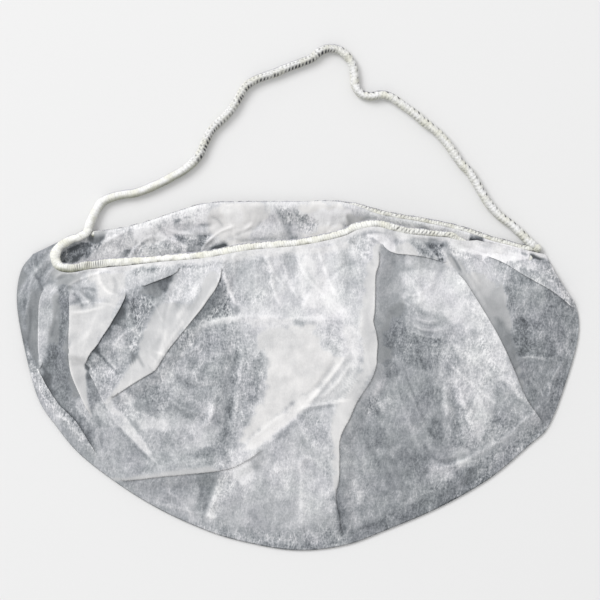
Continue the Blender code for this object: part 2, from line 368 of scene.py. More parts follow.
def stitchRow(turn, at, row):
    # 1 in the holes of one row of stitches, which runs along one side of the cord
    away = (turn - valueAt(at, row["side"]) + math.pi) % (2 * math.pi) - math.pi
    uneven = at + 0.5 * cloudNoise(at, at * 0, 4.0, 17)
    step = (uneven / row["pitch"] + row["slant"] * away + 0.5) % 1 - 0.5
    first, last = row["span"]
    fade = stitches["holeFade"]
    dark = row["dark"] * smooth((at - first) / fade) * smooth((last - at) / fade)
    dark = dark * (0.8 + 0.5 * cloudNoise(at, at * 0, 2.3, 5))
    return dark * np.exp(-((away / row["reach"]) ** 2) - (step * row["pitch"] / row["width"]) ** 2)


def ringFaces(rings, sides):
    # the faces between neighbouring rings of points
    ring, k = np.meshgrid(np.arange(rings), np.arange(sides), indexing="ij")
    first = ring * sides + k
    after = ring * sides + (k + 1) % sides
    return np.stack([first, after, after + sides, first + sides], -1).reshape(-1, 4).tolist()


def knitTube(name, line, look):
    # a closed tube of stitches along a line
    length = lengthsAlong(line)[-1]
    rings, sides = round(length / look["pitch"] * look["ringsPerStitch"]), look["sides"]
    points = spaced(line, rings)
    at = np.linspace(0, length, rings + 1)
    ahead = np.gradient(points[:, :3], axis=0)
    ahead /= np.linalg.norm(ahead, axis=1)[:, None]
    side = np.cross([0.0, 0.0, 1.0], ahead)
    side /= np.linalg.norm(side, axis=1)[:, None]
    up = np.cross(ahead, side)
    turn = np.linspace(0, 2 * math.pi, sides, endpoint=False)
    worked = 1 - valueAt(at, look["plain"])[:, None]
    yarn = knit(turn[None, :], at[:, None], look)
    hole = np.zeros_like(yarn)
    for row in look["rows"]:
        hole = np.maximum(hole, stitchRow(turn[None, :], at[:, None], row))
    toEnd = np.minimum(at, at[-1] - at) / look["radius"]
    endRound = np.sqrt(np.clip(1 - (1 - toEnd) ** 2, stitches["endRound"], 1))
    endRound[(at > look["radius"]) & (at < length - look["radius"])] = 1.0
    relief = mix(stitches["plainRelief"], 1.0, worked) * (1 - yarn)
    depth = look["relief"] * (relief + stitches["holeDepth"] * hole)
    lengthwise, roundwise = np.meshgrid(at, turn * look["radius"], indexing="ij")
    swell = cloudNoise(lengthwise, roundwise, stitches["bumpSize"], 23)
    full = look["radius"] + valueAt(at, look["thicker"])[:, None]
    radius = (full - depth + look["bumps"] * (swell - 1)) * endRound[:, None]
    places = (
        points[:, None, :3]
        + radius[..., None] * np.cos(turn)[None, :, None] * side[:, None, :]
        + radius[..., None] * np.sin(turn)[None, :, None] * up[:, None, :]
    )
    faces = ringFaces(rings, sides)
    faces.append(list(range(sides))[::-1])
    faces.append(list(range(rings * sides, (rings + 1) * sides)))
    piece = addMesh(name, places.reshape(-1, 3), faces)
    keep(piece, "gap", mix(stitches["plainGap"], 1.0, worked) * (1 - yarn))
    keep(piece, "hole", hole)
    # south: how far each point faces -y, away from the lamp; the finish paints shade there
    keep(piece, "south", -np.cos(turn)[None, :] * side[:, 1:2])
    keep(piece, "shade", np.repeat(valueAt(at, look["shade"]), sides))
    keepVector(piece, "along", np.stack([lengthwise, roundwise, 0 * lengthwise], -1) * mm)
    return piece


yarnLook = {
    "roughness": 0.85,
    "sheen": 0.1,
    "cord": {"light": (0.87, 0.87, 0.87), "gap": 0.62, "hole": 1.2},
    "rim": {"light": (0.90, 0.90, 0.87), "gap": 0.34, "hole": 1.1},
    "tint": (0.74, 0.73, 0.62),
    "mostTint": 0.7,
    "gapShade": (0.30, 0.30, 0.28),
    "holeShade": (0.035, 0.035, 0.045),
    "shade": (0.26, 0.27, 0.20),  # painted shade: yarn on the side turned away from the lamp
    "outer": 0.9,
    "outerFrom": -0.8,  # how far round, on the side facing +y, the darker outline starts
    "outerSharpness": 7.0,
    "outerShade": (0.40, 0.40, 0.46),  # colour of that darker, bluish outline
    "fuzz": 0.8,
    "threads": 1.2,
    "fuzzSize": 0.00045,
    "patchSize": 0.006,
    "threadScale": (1600.0, 420.0, 1.0),  # noise cells a metre, lengthwise and round
    "bump": 0.00018,
    "bumpStrength": 0.7,
}


def yarnFinish(name, look):
    finish = Finish(name, yarnLook["roughness"], yarnLook["sheen"])
    along = finish.read("along", "Vector")
    fuzz = finish.noise(along, yarnLook["fuzzSize"], detail=3.0, roughness=0.7)
    patches = finish.noise(along, yarnLook["patchSize"], detail=2.0)
    threads = finish.noise(finish.scaled(along, yarnLook["threadScale"]), 1.0, detail=2.0)
    worn = ((patches - 0.5) * 3 + 0.25).limited(yarnLook["mostTint"])
    tinted = finish.colourBetween(worn, look["light"], yarnLook["tint"])
    # painted shade on the side turned away from the lamp, streaked by the threads
    south = (finish.read("south") * 1.3 + 0.05).limited() * finish.read("shade")
    shadow = (south * (0.5 + 0.6 * threads)).least(1.0)
    sided = finish.colourBetween(shadow, tinted, yarnLook["shade"])
    # a darker, bluish outline along the side facing +y
    outer = (yarnLook["outerFrom"] - finish.read("south")) * yarnLook["outerSharpness"]
    outer = (outer + fuzz).limited() * yarnLook["outer"]
    sided = finish.colourBetween(outer, sided, yarnLook["outerShade"])
    rough = (fuzz - 0.5) * yarnLook["fuzz"] + (threads - 0.5) * yarnLook["threads"]
    depth = (finish.read("gap") * look["gap"] + rough).limited()
    shaded = finish.colourBetween(depth, sided, yarnLook["gapShade"])
    hole = (finish.read("hole") * (0.6 + patches) * look["hole"]).limited()
    colour = finish.colourBetween(hole, shaded, yarnLook["holeShade"])
    normal = finish.bump(fuzz + threads, yarnLook["bump"], yarnLook["bumpStrength"])
    return finish.paint(Base_Color=colour, Normal=normal)


def addHeadLoop(finish):
    line = curveThrough([(x, y, headLoop["height"]) for x, y in headLoop["route"]])
    fromStart = np.hypot(*(line[:, :2] - line[0, :2]).T)
    line[:, 2] = mix(seatHeight, headLoop["height"], smooth(fromStart / headLoop["landing"]))
    loop = knitTube("head_loop_cord", line, headLoop)
    loop.data.materials.append(finish)
    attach(loop, "root")
    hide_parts("head_loop")
    tuple(line[0] * mm)
    (line * mm).tolist()
    print("head loop:", round(lengthsAlong(line)[-1], 1), "mm")


# Rims: elastic covered by overlock thread, along the front and back edges of the mouth. Cover
# is how far the cloth's cut edge lies from the rim's middle, at each length along it.

frontRim = {
    "route": (  # from the right end, round the left end, to where the head loop leaves
        (110.9, 54.8, 3.3), (104.4, 56.2, 3.3), (97.3, 57.8, 3.7), (89.8, 59.0, 4.4),
        (82.9, 60.6, 5.6), (76.2, 63.2, 7.2), (71.9, 65.8, 8.1), (64.9, 66.5, 9.1),
        (53.7, 67.5, 10.4), (46.5, 68.9, 11.0), (37.1, 71.1, 11.8), (28.6, 69.8, 12.2),
        (20.1, 66.2, 12.5), (1.3, 62.3, 12.5), (-22.5, 60.1, 12.1), (-43.2, 56.5, 11.3),
        (-62.9, 54.8, 9.9), (-83.2, 53.4, 7.9), (-97.3, 52.0, 6.2), (-106.5, 50.5, 5.3),
        (-112.0, 51.8, 4.8), (-113.7, 56.3, 4.2), (-112.0, 60.1, 3.8), (-108.2, 62.9, 3.3),
        (-102.0, 65.6, 3.3), (-98.7, 67.6, 3.3), (-97.3, 70.7, 3.3),
    ),
    "clothTurn": (-110.6, 61.5),  # where the cloth's front edge becomes its back edge
    "clothUnderEnd": (-102.0, 65.6),  # the cloth runs under the elastic from the turn to here
    "clothOverEnd": (-92.0, 53.8),  # and over it from the right end to here
    "radius": 2.2,
    "columns": 3,
    "pitch": 1.2,
    "slant": 0.8,
    "relief": 0.22,
    "columnGroove": 0.35,
    "bumps": 0.34,
    "ringsPerStitch": 6,
    "sides": 36,
    "cover": ((0, -3.4), (28, -3.4), (40, 1.3), (180, 1.3), (196, 2.1), (300, 2.1)),
    "plain": ((0, 1.0), (30, 0.9), (38, 0.0), (140, 0.0), (170, 0.5), (240, 0.6), (300, 0.5)),
    # painted shade on the side turned away from the lamp, at each length
    "shade": ((0, 0.1), (206, 0.1), (213, 0.5), (219, 1.2), (226, 1.2), (234, 0.2), (250, 0.2)),
    "thicker": (
        (0, 0), (50, 0), (64, 0.32), (156, 0.32), (192, 0.1), (208, 0.25), (222, 0.35),
        (236, 0.45), (246, 0.1),
    ),
    "rows": (
        {"span": (36, 235), "side": ((0, 2.55), (300, 2.55)), "pitch": 2.35, "slant": 0.1,
         "reach": 0.20, "width": 0.50, "dark": 0.45},
        {"span": (36, 72), "side": ((0, 1.7), (300, 1.7)), "pitch": 1.9, "slant": 0.6,
         "reach": 0.50, "width": 0.36, "dark": 0.7},
        {"span": (203, 228), "side": ((0, 1.75), (300, 1.75)), "pitch": 1.0,
         "slant": 0.15, "reach": 0.80, "width": 0.27, "dark": 0.65},
    ),
}

backRim = {
    "route": (  # from the left end to the right, lying on the table
        (-97.0, 66.4), (-87.8, 67.2), (-74.1, 70.0), (-58.7, 75.0), (-43.2, 79.5),
        (-22.1, 80.4), (1.5, 80.4), (13.1, 80.8), (27.3, 79.6), (41.9, 75.7),
        (59.8, 72.6), (77.8, 68.6), (91.2, 64.1), (100.2, 61.8), (106.0, 60.3),
        (111.6, 59.4),
    ),
    "radius": 1.9,
    "columns": 3,
    "pitch": 1.2,
    "slant": 0.8,
    "relief": 0.22,
    "columnGroove": 0.35,
    "bumps": 0.30,
    "ringsPerStitch": 6,
    "sides": 32,
    "cover": ((0, -1.3), (118, -1.3), (134, 0.6), (300, 0.6)),
    "plain": ((0, 0.6), (30, 0.0), (300, 0.0)),
    # painted shade on the side turned away from the lamp, at each length
    "shade": ((0, 1.3), (9, 1.1), (17, 0.2), (300, 0.2)),
    "thicker": ((0, 0), (300, 0)),
    "rows": (
        {"span": (8, 215), "side": ((0, 0.5), (300, 0.5)), "pitch": 1.6, "slant": 0.1,
         "reach": 0.22, "width": 0.60, "dark": 0.75},
        {"span": (120, 212), "side": ((0, 1.1), (300, 1.1)), "pitch": 1.9, "slant": 0.5,
         "reach": 0.40, "width": 0.36, "dark": 0.6},
    ),
}


def addRims(finish):
    front = curveThrough(frontRim["route"])
    back = curveThrough([(x, y, elasticRadius) for x, y in backRim["route"]])
    rims = (
        ("front_rim", "front_elastic", front, frontRim),
        ("back_rim", "back_elastic", back, backRim),
    )
    for name, node, line, look in rims:
        rim = knitTube(name, line, look)
        rim.data.materials.append(finish)
        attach(rim, "root")
        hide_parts(node)
    print("rims: front and back")
    return front, back


# Sewn lump that holds the right end of the head loop

tack = {
    "rings": 40,
    "sides": 48,
    "wraps": 7,
    "relief": 0.10,
    "lumps": 0.09,
    # painted shade on the lower side, as on the cord
    "shade": 0.9,
}


def addTack(finish):
    low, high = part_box("right_tack")
    middle = np.array((low + high) / 2) / mm
    half = np.array((high - low) / 2) / mm
    lift = np.linspace(-math.pi / 2, math.pi / 2, tack["rings"] + 1)[:, None]
    turn = np.linspace(0, 2 * math.pi, tack["sides"], endpoint=False)[None, :]
    wrap = 0.5 + 0.5 * np.sin(tack["wraps"] * 2 * lift + turn)
    lumps = cloudNoise(3 * turn + 0 * lift, 3 * lift + 0 * turn, 2.0, 41)
    swell = 1 + tack["relief"] * (wrap - 1) + tack["lumps"] * (lumps - 1)
    places = np.stack(
        [
            np.cos(lift) * np.cos(turn) * swell,
            np.cos(lift) * np.sin(turn) * swell,
            np.sin(lift) * np.ones_like(turn) * swell,
        ],
        -1,
    )
    flat = (places * half + middle).reshape(-1, 3)
    lump = addMesh("tack_lump", flat, ringFaces(tack["rings"], tack["sides"]))
    keep(lump, "gap", (1 - wrap).ravel())
    keep(lump, "south", (-np.cos(lift) * np.sin(turn)).ravel())
    keep(lump, "shade", np.full(len(flat), tack["shade"]))
    keepVector(lump, "along", flat * mm)
    lump.data.materials.append(finish)
    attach(lump, "root")
    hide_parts("right_tack")
    print("tack at the right end")


# Cloth: one sheet, its front panel folded over its back panel along the bottom

cloth = {
    "loft": 19.0,  # front panel above the table, between its folds
    "creaseHeight": 1.0,
    "backHeight": 0.4,
    "columns": 400,
    "frontRows": 204,
    "backRows": 44,
    "visibleBackRows": 32,  # rows of the back panel in the strip that shows through the mouth
    "visibleBackShare": 0.15,
    "crestRow": 0.35,
    "fallPower": 1.8,
    "fullnessPower": 0.6,
    "foldSink": 0.06,
    "rimInset": 0.8,  # cut edge from the middle of the elastic where it runs below it
    "backFall": 15.0,  # length over which the back panel comes down from its rim
    "backEdge": 0.04,  # first share of the back panel, over which it leaves its cut edge
    "backRise": 0.06,  # last share, over which it rises to the bottom fold
    "insideWrinkled": (0.012, 0.5),  # shares at which its wrinkles are full, and end
    "insideAir": 0.3,  # under the wrinkles, so that no crease goes below the back panel
    "rimAir": 0.15,
    "edgeLanding": 10.0,
    "mouthFade": 0.04,  # shares of the panel over which its folds fade out at its edges
    "bottomFade": 0.03,
    "endFade": 0.02,
    "hills": ((0.55, 14, 3), (0.35, 7, 5), (0.20, 3.2, 8)),  # height, size and seed
    "insideHills": ((0.9, 9, 21), (0.5, 4, 22)),
    "waves": 15,
    "waveHeight": 0.8,
    "waveSwing": 0.35,  # of one wave, so that they lie unevenly
    "waveRows": (0.05, 0.30),  # shares of the panel at which the waves are full, and end
    "flat": (0.457, 0.300),
    "cutArea": 0.088,
    "tone": 0.57,
    "insideTone": 0.79,
    "seamTone": 0.94,  # beside the rims, where thread covers the cloth
    "seamBand": 5.0,
    "seamFade": 3.6,
    "seamUneven": 1.6,
    "seamAtRight": 0.25,  # how much of it is left at the right end
    "rightEnd": 0.86,  # share of the mouth at which the right end starts
    "seamSpeckle": 0.6,
    "gatherShading": 0.10,  # painted highlight on the ridges of the gathers and waves, and painted shade in their hollows
    "waveShading": 0.03,
    "hiddenTone": 0.5,  # painted shade on the back panel where the front panel covers it
    "hiddenFrom": 26.0,
    "rightCorner": (117.1, 56.9),
    "bottomFold": (  # from the right end to the left
        (125.3, 42.1), (131.3, 32.6), (132.4, 19.0), (127.2, -1.2), (118.6, -23.5),
        (109.3, -32.9), (90.6, -48.6), (67.1, -62.1), (41.2, -73.2), (22.5, -80.0),
        (1.3, -82.4), (-19.9, -79.5), (-43.1, -72.9), (-71.5, -59.3), (-99.5, -39.6),
        (-113.6, -23.7), (-122.4, -9.6), (-129.2, 16.5), (-132.0, 35.4), (-130.0, 49.3),
        (-124.4, 57.1),
    ),
}

# Tables of the folds, creases and zones. The numbers at the end of a row are the x and y, in
# turn, of the places along its run or round its outline, in tenths of a millimetre.


def rowsOf(kind, table):
    rows = []
    for row in table:
        values = row[: len(kind._fields) - 1]
        places = [tenths / 10 for tenths in row[len(values) :]]
        rows.append(kind(*values, tuple(zip(places[::2], places[1::2]))))
    return tuple(rows)


# Folds of the front panel. Each flap lies on the left or right of its run, looking along it, and
# the cloth turns under at the run. Tuck is how deep it is turned under, lift how high the flap
# lies, rise and reach a broad swell under it, edge how white the turn is, partly doubled cloth and
# partly a painted highlight, and shade how much painted shade lies on the cloth beyond it.
Fold = namedtuple("Fold", "name flap tuck lift rise reach edge shade run")
folds = rowsOf(Fold, (
    ("outerStrip", "left", 2.2, 0.424, 1.2, 9, 0.08, 0, -1187, 411, -1208, 350, -1213, 271, -1216, 191,
     -1215, 111, -1198, 17),
    ("pleatLeft", "left", 2.2, 0.424, 1, 8, 0.08, 0, -1077, 393, -1067, 341, -1066, 262, -1069, 191,
     -1071, 121, -1069, 69, -1063, 22, -1047, -25, -1027, -72, -1006, -119, -985, -166, -967, -203),
    ("pleatRight", "right", 4, 0.544, 2.2, 18, 0.08, 0.34, -791, 397, -805, 355, -828, 308, -851, 269,
     -874, 229, -903, 187, -929, 145, -963, 103, -982, 65, -990, 37),
    ("rimFlap", "right", 2.4, 0.544, 0.6, 5, 0.08, 0.16, -538, 505, -571, 477, -631, 451, -687, 430,
     -729, 411),
    ("diagonalPleat", "right", 4.2, 0.544, 2.4, 16, 0.1, 0.1, -342, 524, -348, 491, -359, 449, -380, 402,
     -410, 360, -441, 315, -483, 264, -525, 211, -565, 162, -602, 113, -632, 66, -658, 27, -704, -2,
     -751, -30, -798, -61, -846, -94, -889, -130),
    ("lightTriangle", "left", 1.4, 0.265, 0, 1, 0.08, 0, -986, 37, -963, -10, -940, -57, -918, -108,
     -894, -151),
    ("hemFold", "right", 2.6, 0.424, 0.8, 6, 0.08, 0.06, -1275, 167, -1251, 110, -1227, 54, -1203, 5,
     -1180, -40, -1154, -82, -1117, -137, -1080, -172, -1047, -205, -1014, -250, -977, -311, -928, -387),
    ("bottomTuck", "left", 2.6, 0.544, 2, 14, 0.08, 0, -862, -504, -738, -491, -643, -478, -501, -463,
     -351, -445, -285, -426, -238, -402, -177, -362, -135, -326),
    ("centreFold", "right", 4.5, 0.544, 2.4, 18, 0.1, -0.02, 388, 622, 388, 565, 382, 514, 368, 472,
     366, 378, 363, 299, 357, 257, 368, 211, 377, 155, 374, 104, 372, 57, 361, 15, 340, -31, 307, -80,
     277, -130, 247, -200, 214, -261, 200, -317, 201, -374, 199, -487, 185, -549, 188, -602, 202, -655,
     212, -717, 226, -780),
    ("pocketEdge", "left", 2, 0.544, 0.5, 5, 0.12, 0.08, 388, 622, 421, 589, 463, 570, 528, 563, 599, 554,
     659, 538, 711, 519),
    ("rightPleat", "right", 4.5, 0.544, 2.4, 18, 0.1, 0.06, 746, 500, 783, 449, 848, 346, 932, 206,
     998, 74, 1047, -39, 1091, -128, 1184, -248),
    ("topRightFold", "left", 3, 0.544, 1.2, 9, 0.08, 0.04, 877, 562, 934, 545, 994, 515, 1055, 475,
     1126, 435, 1193, 397, 1250, 355, 1313, 303),
))

# Creases: height of the ridge (or depth, when negative), its width, how much whiter the ridge is
# painted, as a painted highlight or, when negative, painted shade in the crease, and how much
# painted shade lies on the cloth beside it
Crease = namedtuple("Crease", "name height width white dark run")
creases = rowsOf(Crease, (
    ("puffRight", 0.6, 0.8, 0.18, 0.04, -164, 575, -131, 523, -117, 448, -103, 383, -61, 308),
    ("puffCrease", 0.5, 1.5, 0.14, 0, -489, 187, -452, 220, -405, 248, -349, 264, -256, 276, -102, 274,
     61, 267, 223, 262),
    ("bandLine", -0.4, 0.7, -0.15, 0.02, -1285, 534, -1226, 473, -1197, 411, -1167, 374),
    ("bandLine2", 0.3, 0.7, 0.15, 0, -1322, 355, -1284, 421, -1236, 487, -1161, 534),
    ("bandLine3", 0.3, 0.7, 0.12, 0, -1313, 214, -1274, 299, -1255, 393),
    ("bandLine4", -0.3, 0.7, -0.12, 0, -1285, 120, -1255, 214, -1250, 332),
    ("outline", 0.3, 0.5, 0.08, 0, -1327, 393, -1327, 284, -1304, 143, -1242, -12, -1171, -125,
     -1068, -233, -945, -350, -842, -473),
    ("stripFold", -0.3, 0.9, -0.09, 0, -1110, 402, -1119, 332, -1138, 238, -1173, 120),
    ("pleatTopLine", 0.4, 0.7, 0.15, 0.03, -1103, 468, -1042, 496, -962, 505, -867, 496),
    ("pleatTopLine2", 0.4, 0.8, 0.14, 0.04, -1052, 318, -986, 346, -920, 341, -835, 327),
    ("pleatTopLine3", -0.4, 0.9, -0.15, 0, -1092, 425, -1025, 402, -968, 364, -939, 327),
    ("pleatTopLine4", 0.4, 0.9, 0.15, 0.02, -934, 505, -922, 439, -883, 393, -836, 374),
    ("pleatTopLine5", -0.3, 0.9, -0.15, 0, -867, 477, -847, 421, -864, 355),
    ("pleatMidLine", 0.3, 1, 0.08, 0.03, -920, 318, -957, 238, -995, 145, -1015, 65),
    ("besideLine", -0.5, 0.6, -0.3, 0, -938, 122, -901, 80, -859, 33, -821, -4),
    ("besideLine2", -0.5, 0.8, -0.27, 0, -778, 178, -755, 122, -727, 66, -704, 29),
    ("besideLine3", 0.4, 0.8, 0.21, 0, -863, 126, -825, 178, -774, 215, -713, 243),
    ("besideLine4", 0.4, 0.7, 0.18, 0, -816, 75, -769, 127, -736, 187, -685, 234),
    ("besideLine5", 0.4, 0.6, 0.18, 0, -718, 299, -676, 327, -639, 355),
    ("diagonalRidge", 0.4, 1.4, 0.12, 0, -536, 318, -573, 243, -619, 150, -647, 66),
    ("diagonalRidge2", 0.4, 1, 0.12, 0.03, -444, 486, -471, 402, -526, 318, -563, 262),
    ("diagonalHollow", -0.4, 1.4, -0.11, 0, -500, 486, -527, 392, -573, 299),
    ("darkStreak", -0.9, 3.6, -0.13, 0, -261, 281, -279, 146, -303, 6, -327, -205, -350, -355),
    ("streakLight", 0.5, 1.2, 0.1875, 0, -247, 169, -265, 29, -284, -135, -313, -280),
    ("mottleLine", -0.4, 1, -0.1, 0, -652, 10, -620, -55, -583, -102, -518, -130),
    ("mottleLine2", 0.4, 1.2, 0.175, 0, -415, -102, -396, -167, -425, -252),
    ("lowStreak", 0.6, 1.6, 0.2625, 0, -370, -440, -394, -546, -414, -632, -424, -699),
    ("lowStreak2", -0.4, 1.2, -0.14, 0, -436, -479, -456, -585, -494, -662),
    ("lowVertical", 0.3, 1.1, 0.18, 0, 14, -355, 19, -535, 19, -798),
    ("stripLine", -0.3, 0.8, -0.12, 0, -928, -184, -920, -255, -917, -350),
    ("lowArc", 0.4, 1, 0.15, 0, -5, -421, 42, -383, 98, -402, 117, -449),
    ("lowArc2", 0.4, 1, 0.12, 0, 70, -655, 127, -583, 164, -516),
    ("centreRidge", 0.4, 1.2, 0.09, 0, 312, 355, 293, 215, 312, 99, 275, -17),
    ("arcLine", 0.4, 0.7, 0.18, 0.03, 256, 146, 275, 76, 247, -17, 191, -101),
    ("arcLine2", 0.3, 0.7, 0.15, 0, 284, 6, 247, -64, 191, -120),
    ("pocketLine", -0.5, 0.6, -0.3, 0, 586, 637, 623, 599, 669, 552),
    ("rightSeam", -0.6, 0.6, -0.33, 0, 712, 580, 744, 533, 772, 481),
    ("triangleLine", 0.3, 0.8, 0.11, 0, 518, 472, 555, 411, 574, 355, 499, 327),
    ("rightStreak", 0.5, 1.2, 0.3, 0, 682, -37, 692, -103, 702, -207),
    ("rightStreak2", 0.5, 1.6, 0.225, 0, 772, -103, 810, -198, 840, -302),
    ("rightStreak3", 0.4, 1, 0.1875, 0, 387, -8, 368, -74, 350, -149),
    ("smile", -0.7, 1.2, -0.21, 0, 538, -253, 585, -319, 643, -386, 699, -410, 765, -392, 850, -359),
    ("smileBelow", 0.5, 1.6, 0.15, 0, 577, -405, 643, -434, 719, -425, 813, -387),
    ("bandBorder", 0.4, 1, 0.18, 0.05, 719, -430, 860, -359, 991, -284, 1094, -190, 1172, -233),
    ("lowRight", 0.4, 1.2, 0.14, 0, 257, -478, 286, -555, 305, -632),
    ("lowRight2", 0.4, 1.2, 0.12, 0, 417, -404, 464, -490, 494, -585),
    ("lowRight3", -0.4, 1.2, -0.12, 0, 322, -299, 370, -384, 399, -489),
    ("sideLine", 0.4, 0.6, 0.27, 0, 1020, 79, 1082, 88, 1179, 78),
    ("sideLine2", 0.3, 0.6, 0.2, 0, 1044, 60, 1092, -11, 1146, -77, 1190, -134),
    ("sideLine3", 0.3, 0.6, 0.18, 0, 1266, 87, 1227, 26, 1189, -45, 1185, -134),
    ("creamLine", 0.3, 1, 0.12, 0, 915, 552, 961, 486, 978, 393, 987, 299),
    ("creamLine2", 0.3, 1, 0.12, 0, 801, 533, 828, 467, 865, 411),
    ("flapLine", 0.3, 0.6, 0.14, 0.02, 1047, 534, 1132, 487, 1217, 421, 1294, 336),
    ("flapLine2", -0.3, 0.8, -0.15, 0, 1148, 553, 1199, 487, 1265, 393),
    ("puffLeftLine", 0.5, 0.7, 0.2, 0.04, -323, 566, -344, 519, -336, 453, -308, 388, -280, 336),
    ("puffInner", 0.3, 0.7, 0.1, 0, -276, 533, -294, 477, -275, 402),
    ("puffInner2", 0.3, 0.7, 0.1, 0, -211, 542, -191, 477, -201, 392),
    ("curveLight", 0.4, 0.6, 0.22, 0, 19, -143, 79, -94, 140, -22, 188, 39, 223, 90, 237, 127),
    ("curveShade", -0.4, 0.9, -0.16, 0, 33, -101, 88, -50, 144, 20, 186, 85),
    ("curveLight2", 0.4, 0.7, 0.16, 0, 98, -111, 163, -55, 219, 11, 256, 76),
    ("ribbonLight", 0.4, 0.7, 0.2, 0, -28, -181, 28, -148, 102, -132, 182, -120, 265, -101),
    ("ribbonShade", -0.3, 0.9, -0.12, 0, 14, -176, 98, -153, 182, -139),
    ("stripEdgeLight", 0.3, 0.45, 0.06, 0, -1187, 411, -1207, 350, -1210, 271, -1213, 191, -1212, 111,
     -1195, 17),
    ("tailLight", 0.3, 0.6, 0.08, 0, -1064, 121, -1058, 22, -1029, -62, -1004, -123, -971, -194),
    ("triangleEdge", 0.3, 0.6, 0.1, 0, -986, 37, -963, -10, -940, -57, -918, -108, -894, -151),
    ("shoulderLine", 0.4, 0.8, 0.14, 0, -1114, 534, -1160, 487, -1187, 421),
    ("shoulderLine2", 0.4, 0.8, 0.12, 0, -1153, 562, -1208, 515, -1245, 449, -1264, 374),
    ("shoulderLine3", -0.4, 0.8, -0.12, 0, -1133, 543, -1179, 496, -1216, 430),
    ("tuckTopLight", 0.4, 0.7, 0.12, 0, -690, -438, -605, -413, -501, -398, -351, -379, -266, -331,
     -182, -270, -98, -204, -14, -148),
    ("gatherLine", 0.5, 0.8, 0.16, 0, -5, 589, 9, 533, 42, 467, 98, 402, 158, 341),
    ("gatherLine2", 0.4, 0.7, 0.14, 0, 98, 608, 117, 533, 154, 439, 191, 355),
    ("gatherLine3", 0.4, 0.7, 0.12, 0, -66, 590, -61, 514, -33, 430, 14, 355),
    ("gatherLine4", 0.4, 0.8, 0.14, 0, 257, 636, 275, 551, 294, 448, 303, 336),
    ("gatherLine5", -0.4, 0.9, -0.12, 0, 224, 617, 247, 523, 256, 420),
    ("gatherLine6", 0.5, 0.6, 0.12, 0, -136, 580, -117, 505, -79, 439, -23, 392),
    ("centreLowLine", -0.4, 0.8, -0.14, 0, 185, -597, 197, -660, 207, -727, 207, -780),
    ("pocketRightLine", 0.4, 0.7, 0.14, 0, 633, 637, 679, 585, 711, 533, 743, 486),
    ("pleatBandLine", 0.4, 0.7, 0.14, 0, -471, 355, -517, 271, -582, 178, -638, 94, -685, 19),
    ("pleatBandLine2", 0.4, 0.6, 0.12, 0, -378, 439, -424, 355, -479, 271, -544, 178),
    ("pleatBandLine3", -0.4, 0.8, -0.1, 0, -434, 411, -480, 327, -535, 243),
    ("whiteTriLine", 0.4, 0.7, 0.14, 0, 490, 402, 536, 374, 593, 402, 649, 448),
    ("whiteTriLine2", 0.4, 0.6, 0.12, 0, 471, 355, 527, 327, 564, 290),
    ("speckleLine", 0.5, 0.7, 0.16, 0, 667, 112, 724, 47, 799, -19, 885, -94, 961, -151),
    ("speckleLine2", 0.4, 0.7, 0.14, 0, 704, 168, 780, 112, 864, 37, 950, -38),
    ("sweepLine", 0.4, 0.8, 0.14, 0, 424, -8, 471, -93, 519, -206, 576, -319, 652, -405),
    ("sweepLine2", 0.4, 0.8, 0.12, 0, 471, 29, 527, -74, 575, -187, 642, -301, 709, -377),
    ("sweepLine3", -0.5, 0.9, -0.14, 0, 499, 10, 546, -93, 603, -225, 680, -348),
    ("lowLeftLine", 0.4, 0.7, 0.12, 0, -739, -587, -598, -614, -456, -652, -306, -680),
    ("lowLeftLine2", 0.4, 0.8, 0.12, 0, -644, -528, -550, -585, -494, -662, -457, -719),
    ("mottleLine4", 0.5, 0.8, 0.14, 0, -685, 122, -591, 94, -498, 113, -424, 169),
    ("mottleLine5", 0.5, 0.8, 0.08, 0, -616, -74, -565, -130, -490, -168, -397, -177),
    ("mottleLine6", -0.5, 1, -0.12, 0, -592, 20, -517, -37, -433, -55, -349, -36),
    ("mottleLine7", 0.5, 0.9, 0.14, 0, -472, -262, -415, -205, -387, -130, -396, -55),
    ("hair1", 0.2, 0.5, 0.16, 0, 545, 276, 601, 257, 658, 262),
    ("hair2", 0.2, 0.5, 0.16, 0, 522, 248, 578, 220, 648, 215, 700, 229),
    ("hair3", 0.2, 0.5, 0.16, 0, 527, 215, 592, 187, 667, 178, 709, 192),
    ("hair4", 0.2, 0.5, 0.14, 0, 564, 164, 620, 145, 686, 150),
    ("hair5", -0.2, 0.6, -0.14, 0, 531, 234, 592, 206, 667, 196),
    ("hair6", -0.2, 0.6, -0.14, 0, 545, 262, 611, 238, 676, 243),
    ("hair7", -0.3, 0.6, -0.16, 0, 559, 122, 583, 66, 611, 10),
    ("hair8", 0.3, 0.5, 0.12, 0, 517, 141, 555, 94, 583, 38),
    ("stripEdge", 0.5, 0.6, 0.05, 0, -899, -141, -839, -226, -759, -315, -647, -426),
    ("stripUnder", -0.3, 0.7, -0.12, 0, -909, -156, -848, -238, -769, -325, -657, -428),
    ("diagonalEdge", 0.5, 0.9, 0.06, 0, -547, 486, -593, 411, -620, 332, -638, 215, -685, 141, -750, 75),
    ("diagonalStreak", 0.3, 0.8, 0.1, 0, -565, 392, -601, 299, -610, 197, -647, 94),
    ("diagonalStreak2", -0.3, 1, -0.08, 0, -509, 430, -555, 327, -582, 225, -628, 122),
    ("pleatTop6", 0.5, 0.7, 0.12, 0, -1149, 440, -1112, 477, -1057, 505, -991, 524),
    ("pleatTop7", 0.5, 0.7, 0.12, 0, -1101, 402, -1036, 444, -961, 472, -877, 496),
    ("pleatTop8", -0.5, 0.8, -0.18, 0, -1130, 449, -1084, 468, -1027, 472, -971, 491),
    ("pleatTop9", -0.5, 0.7, -0.2, 0, -1053, 393, -1024, 364, -1005, 332, -995, 313),
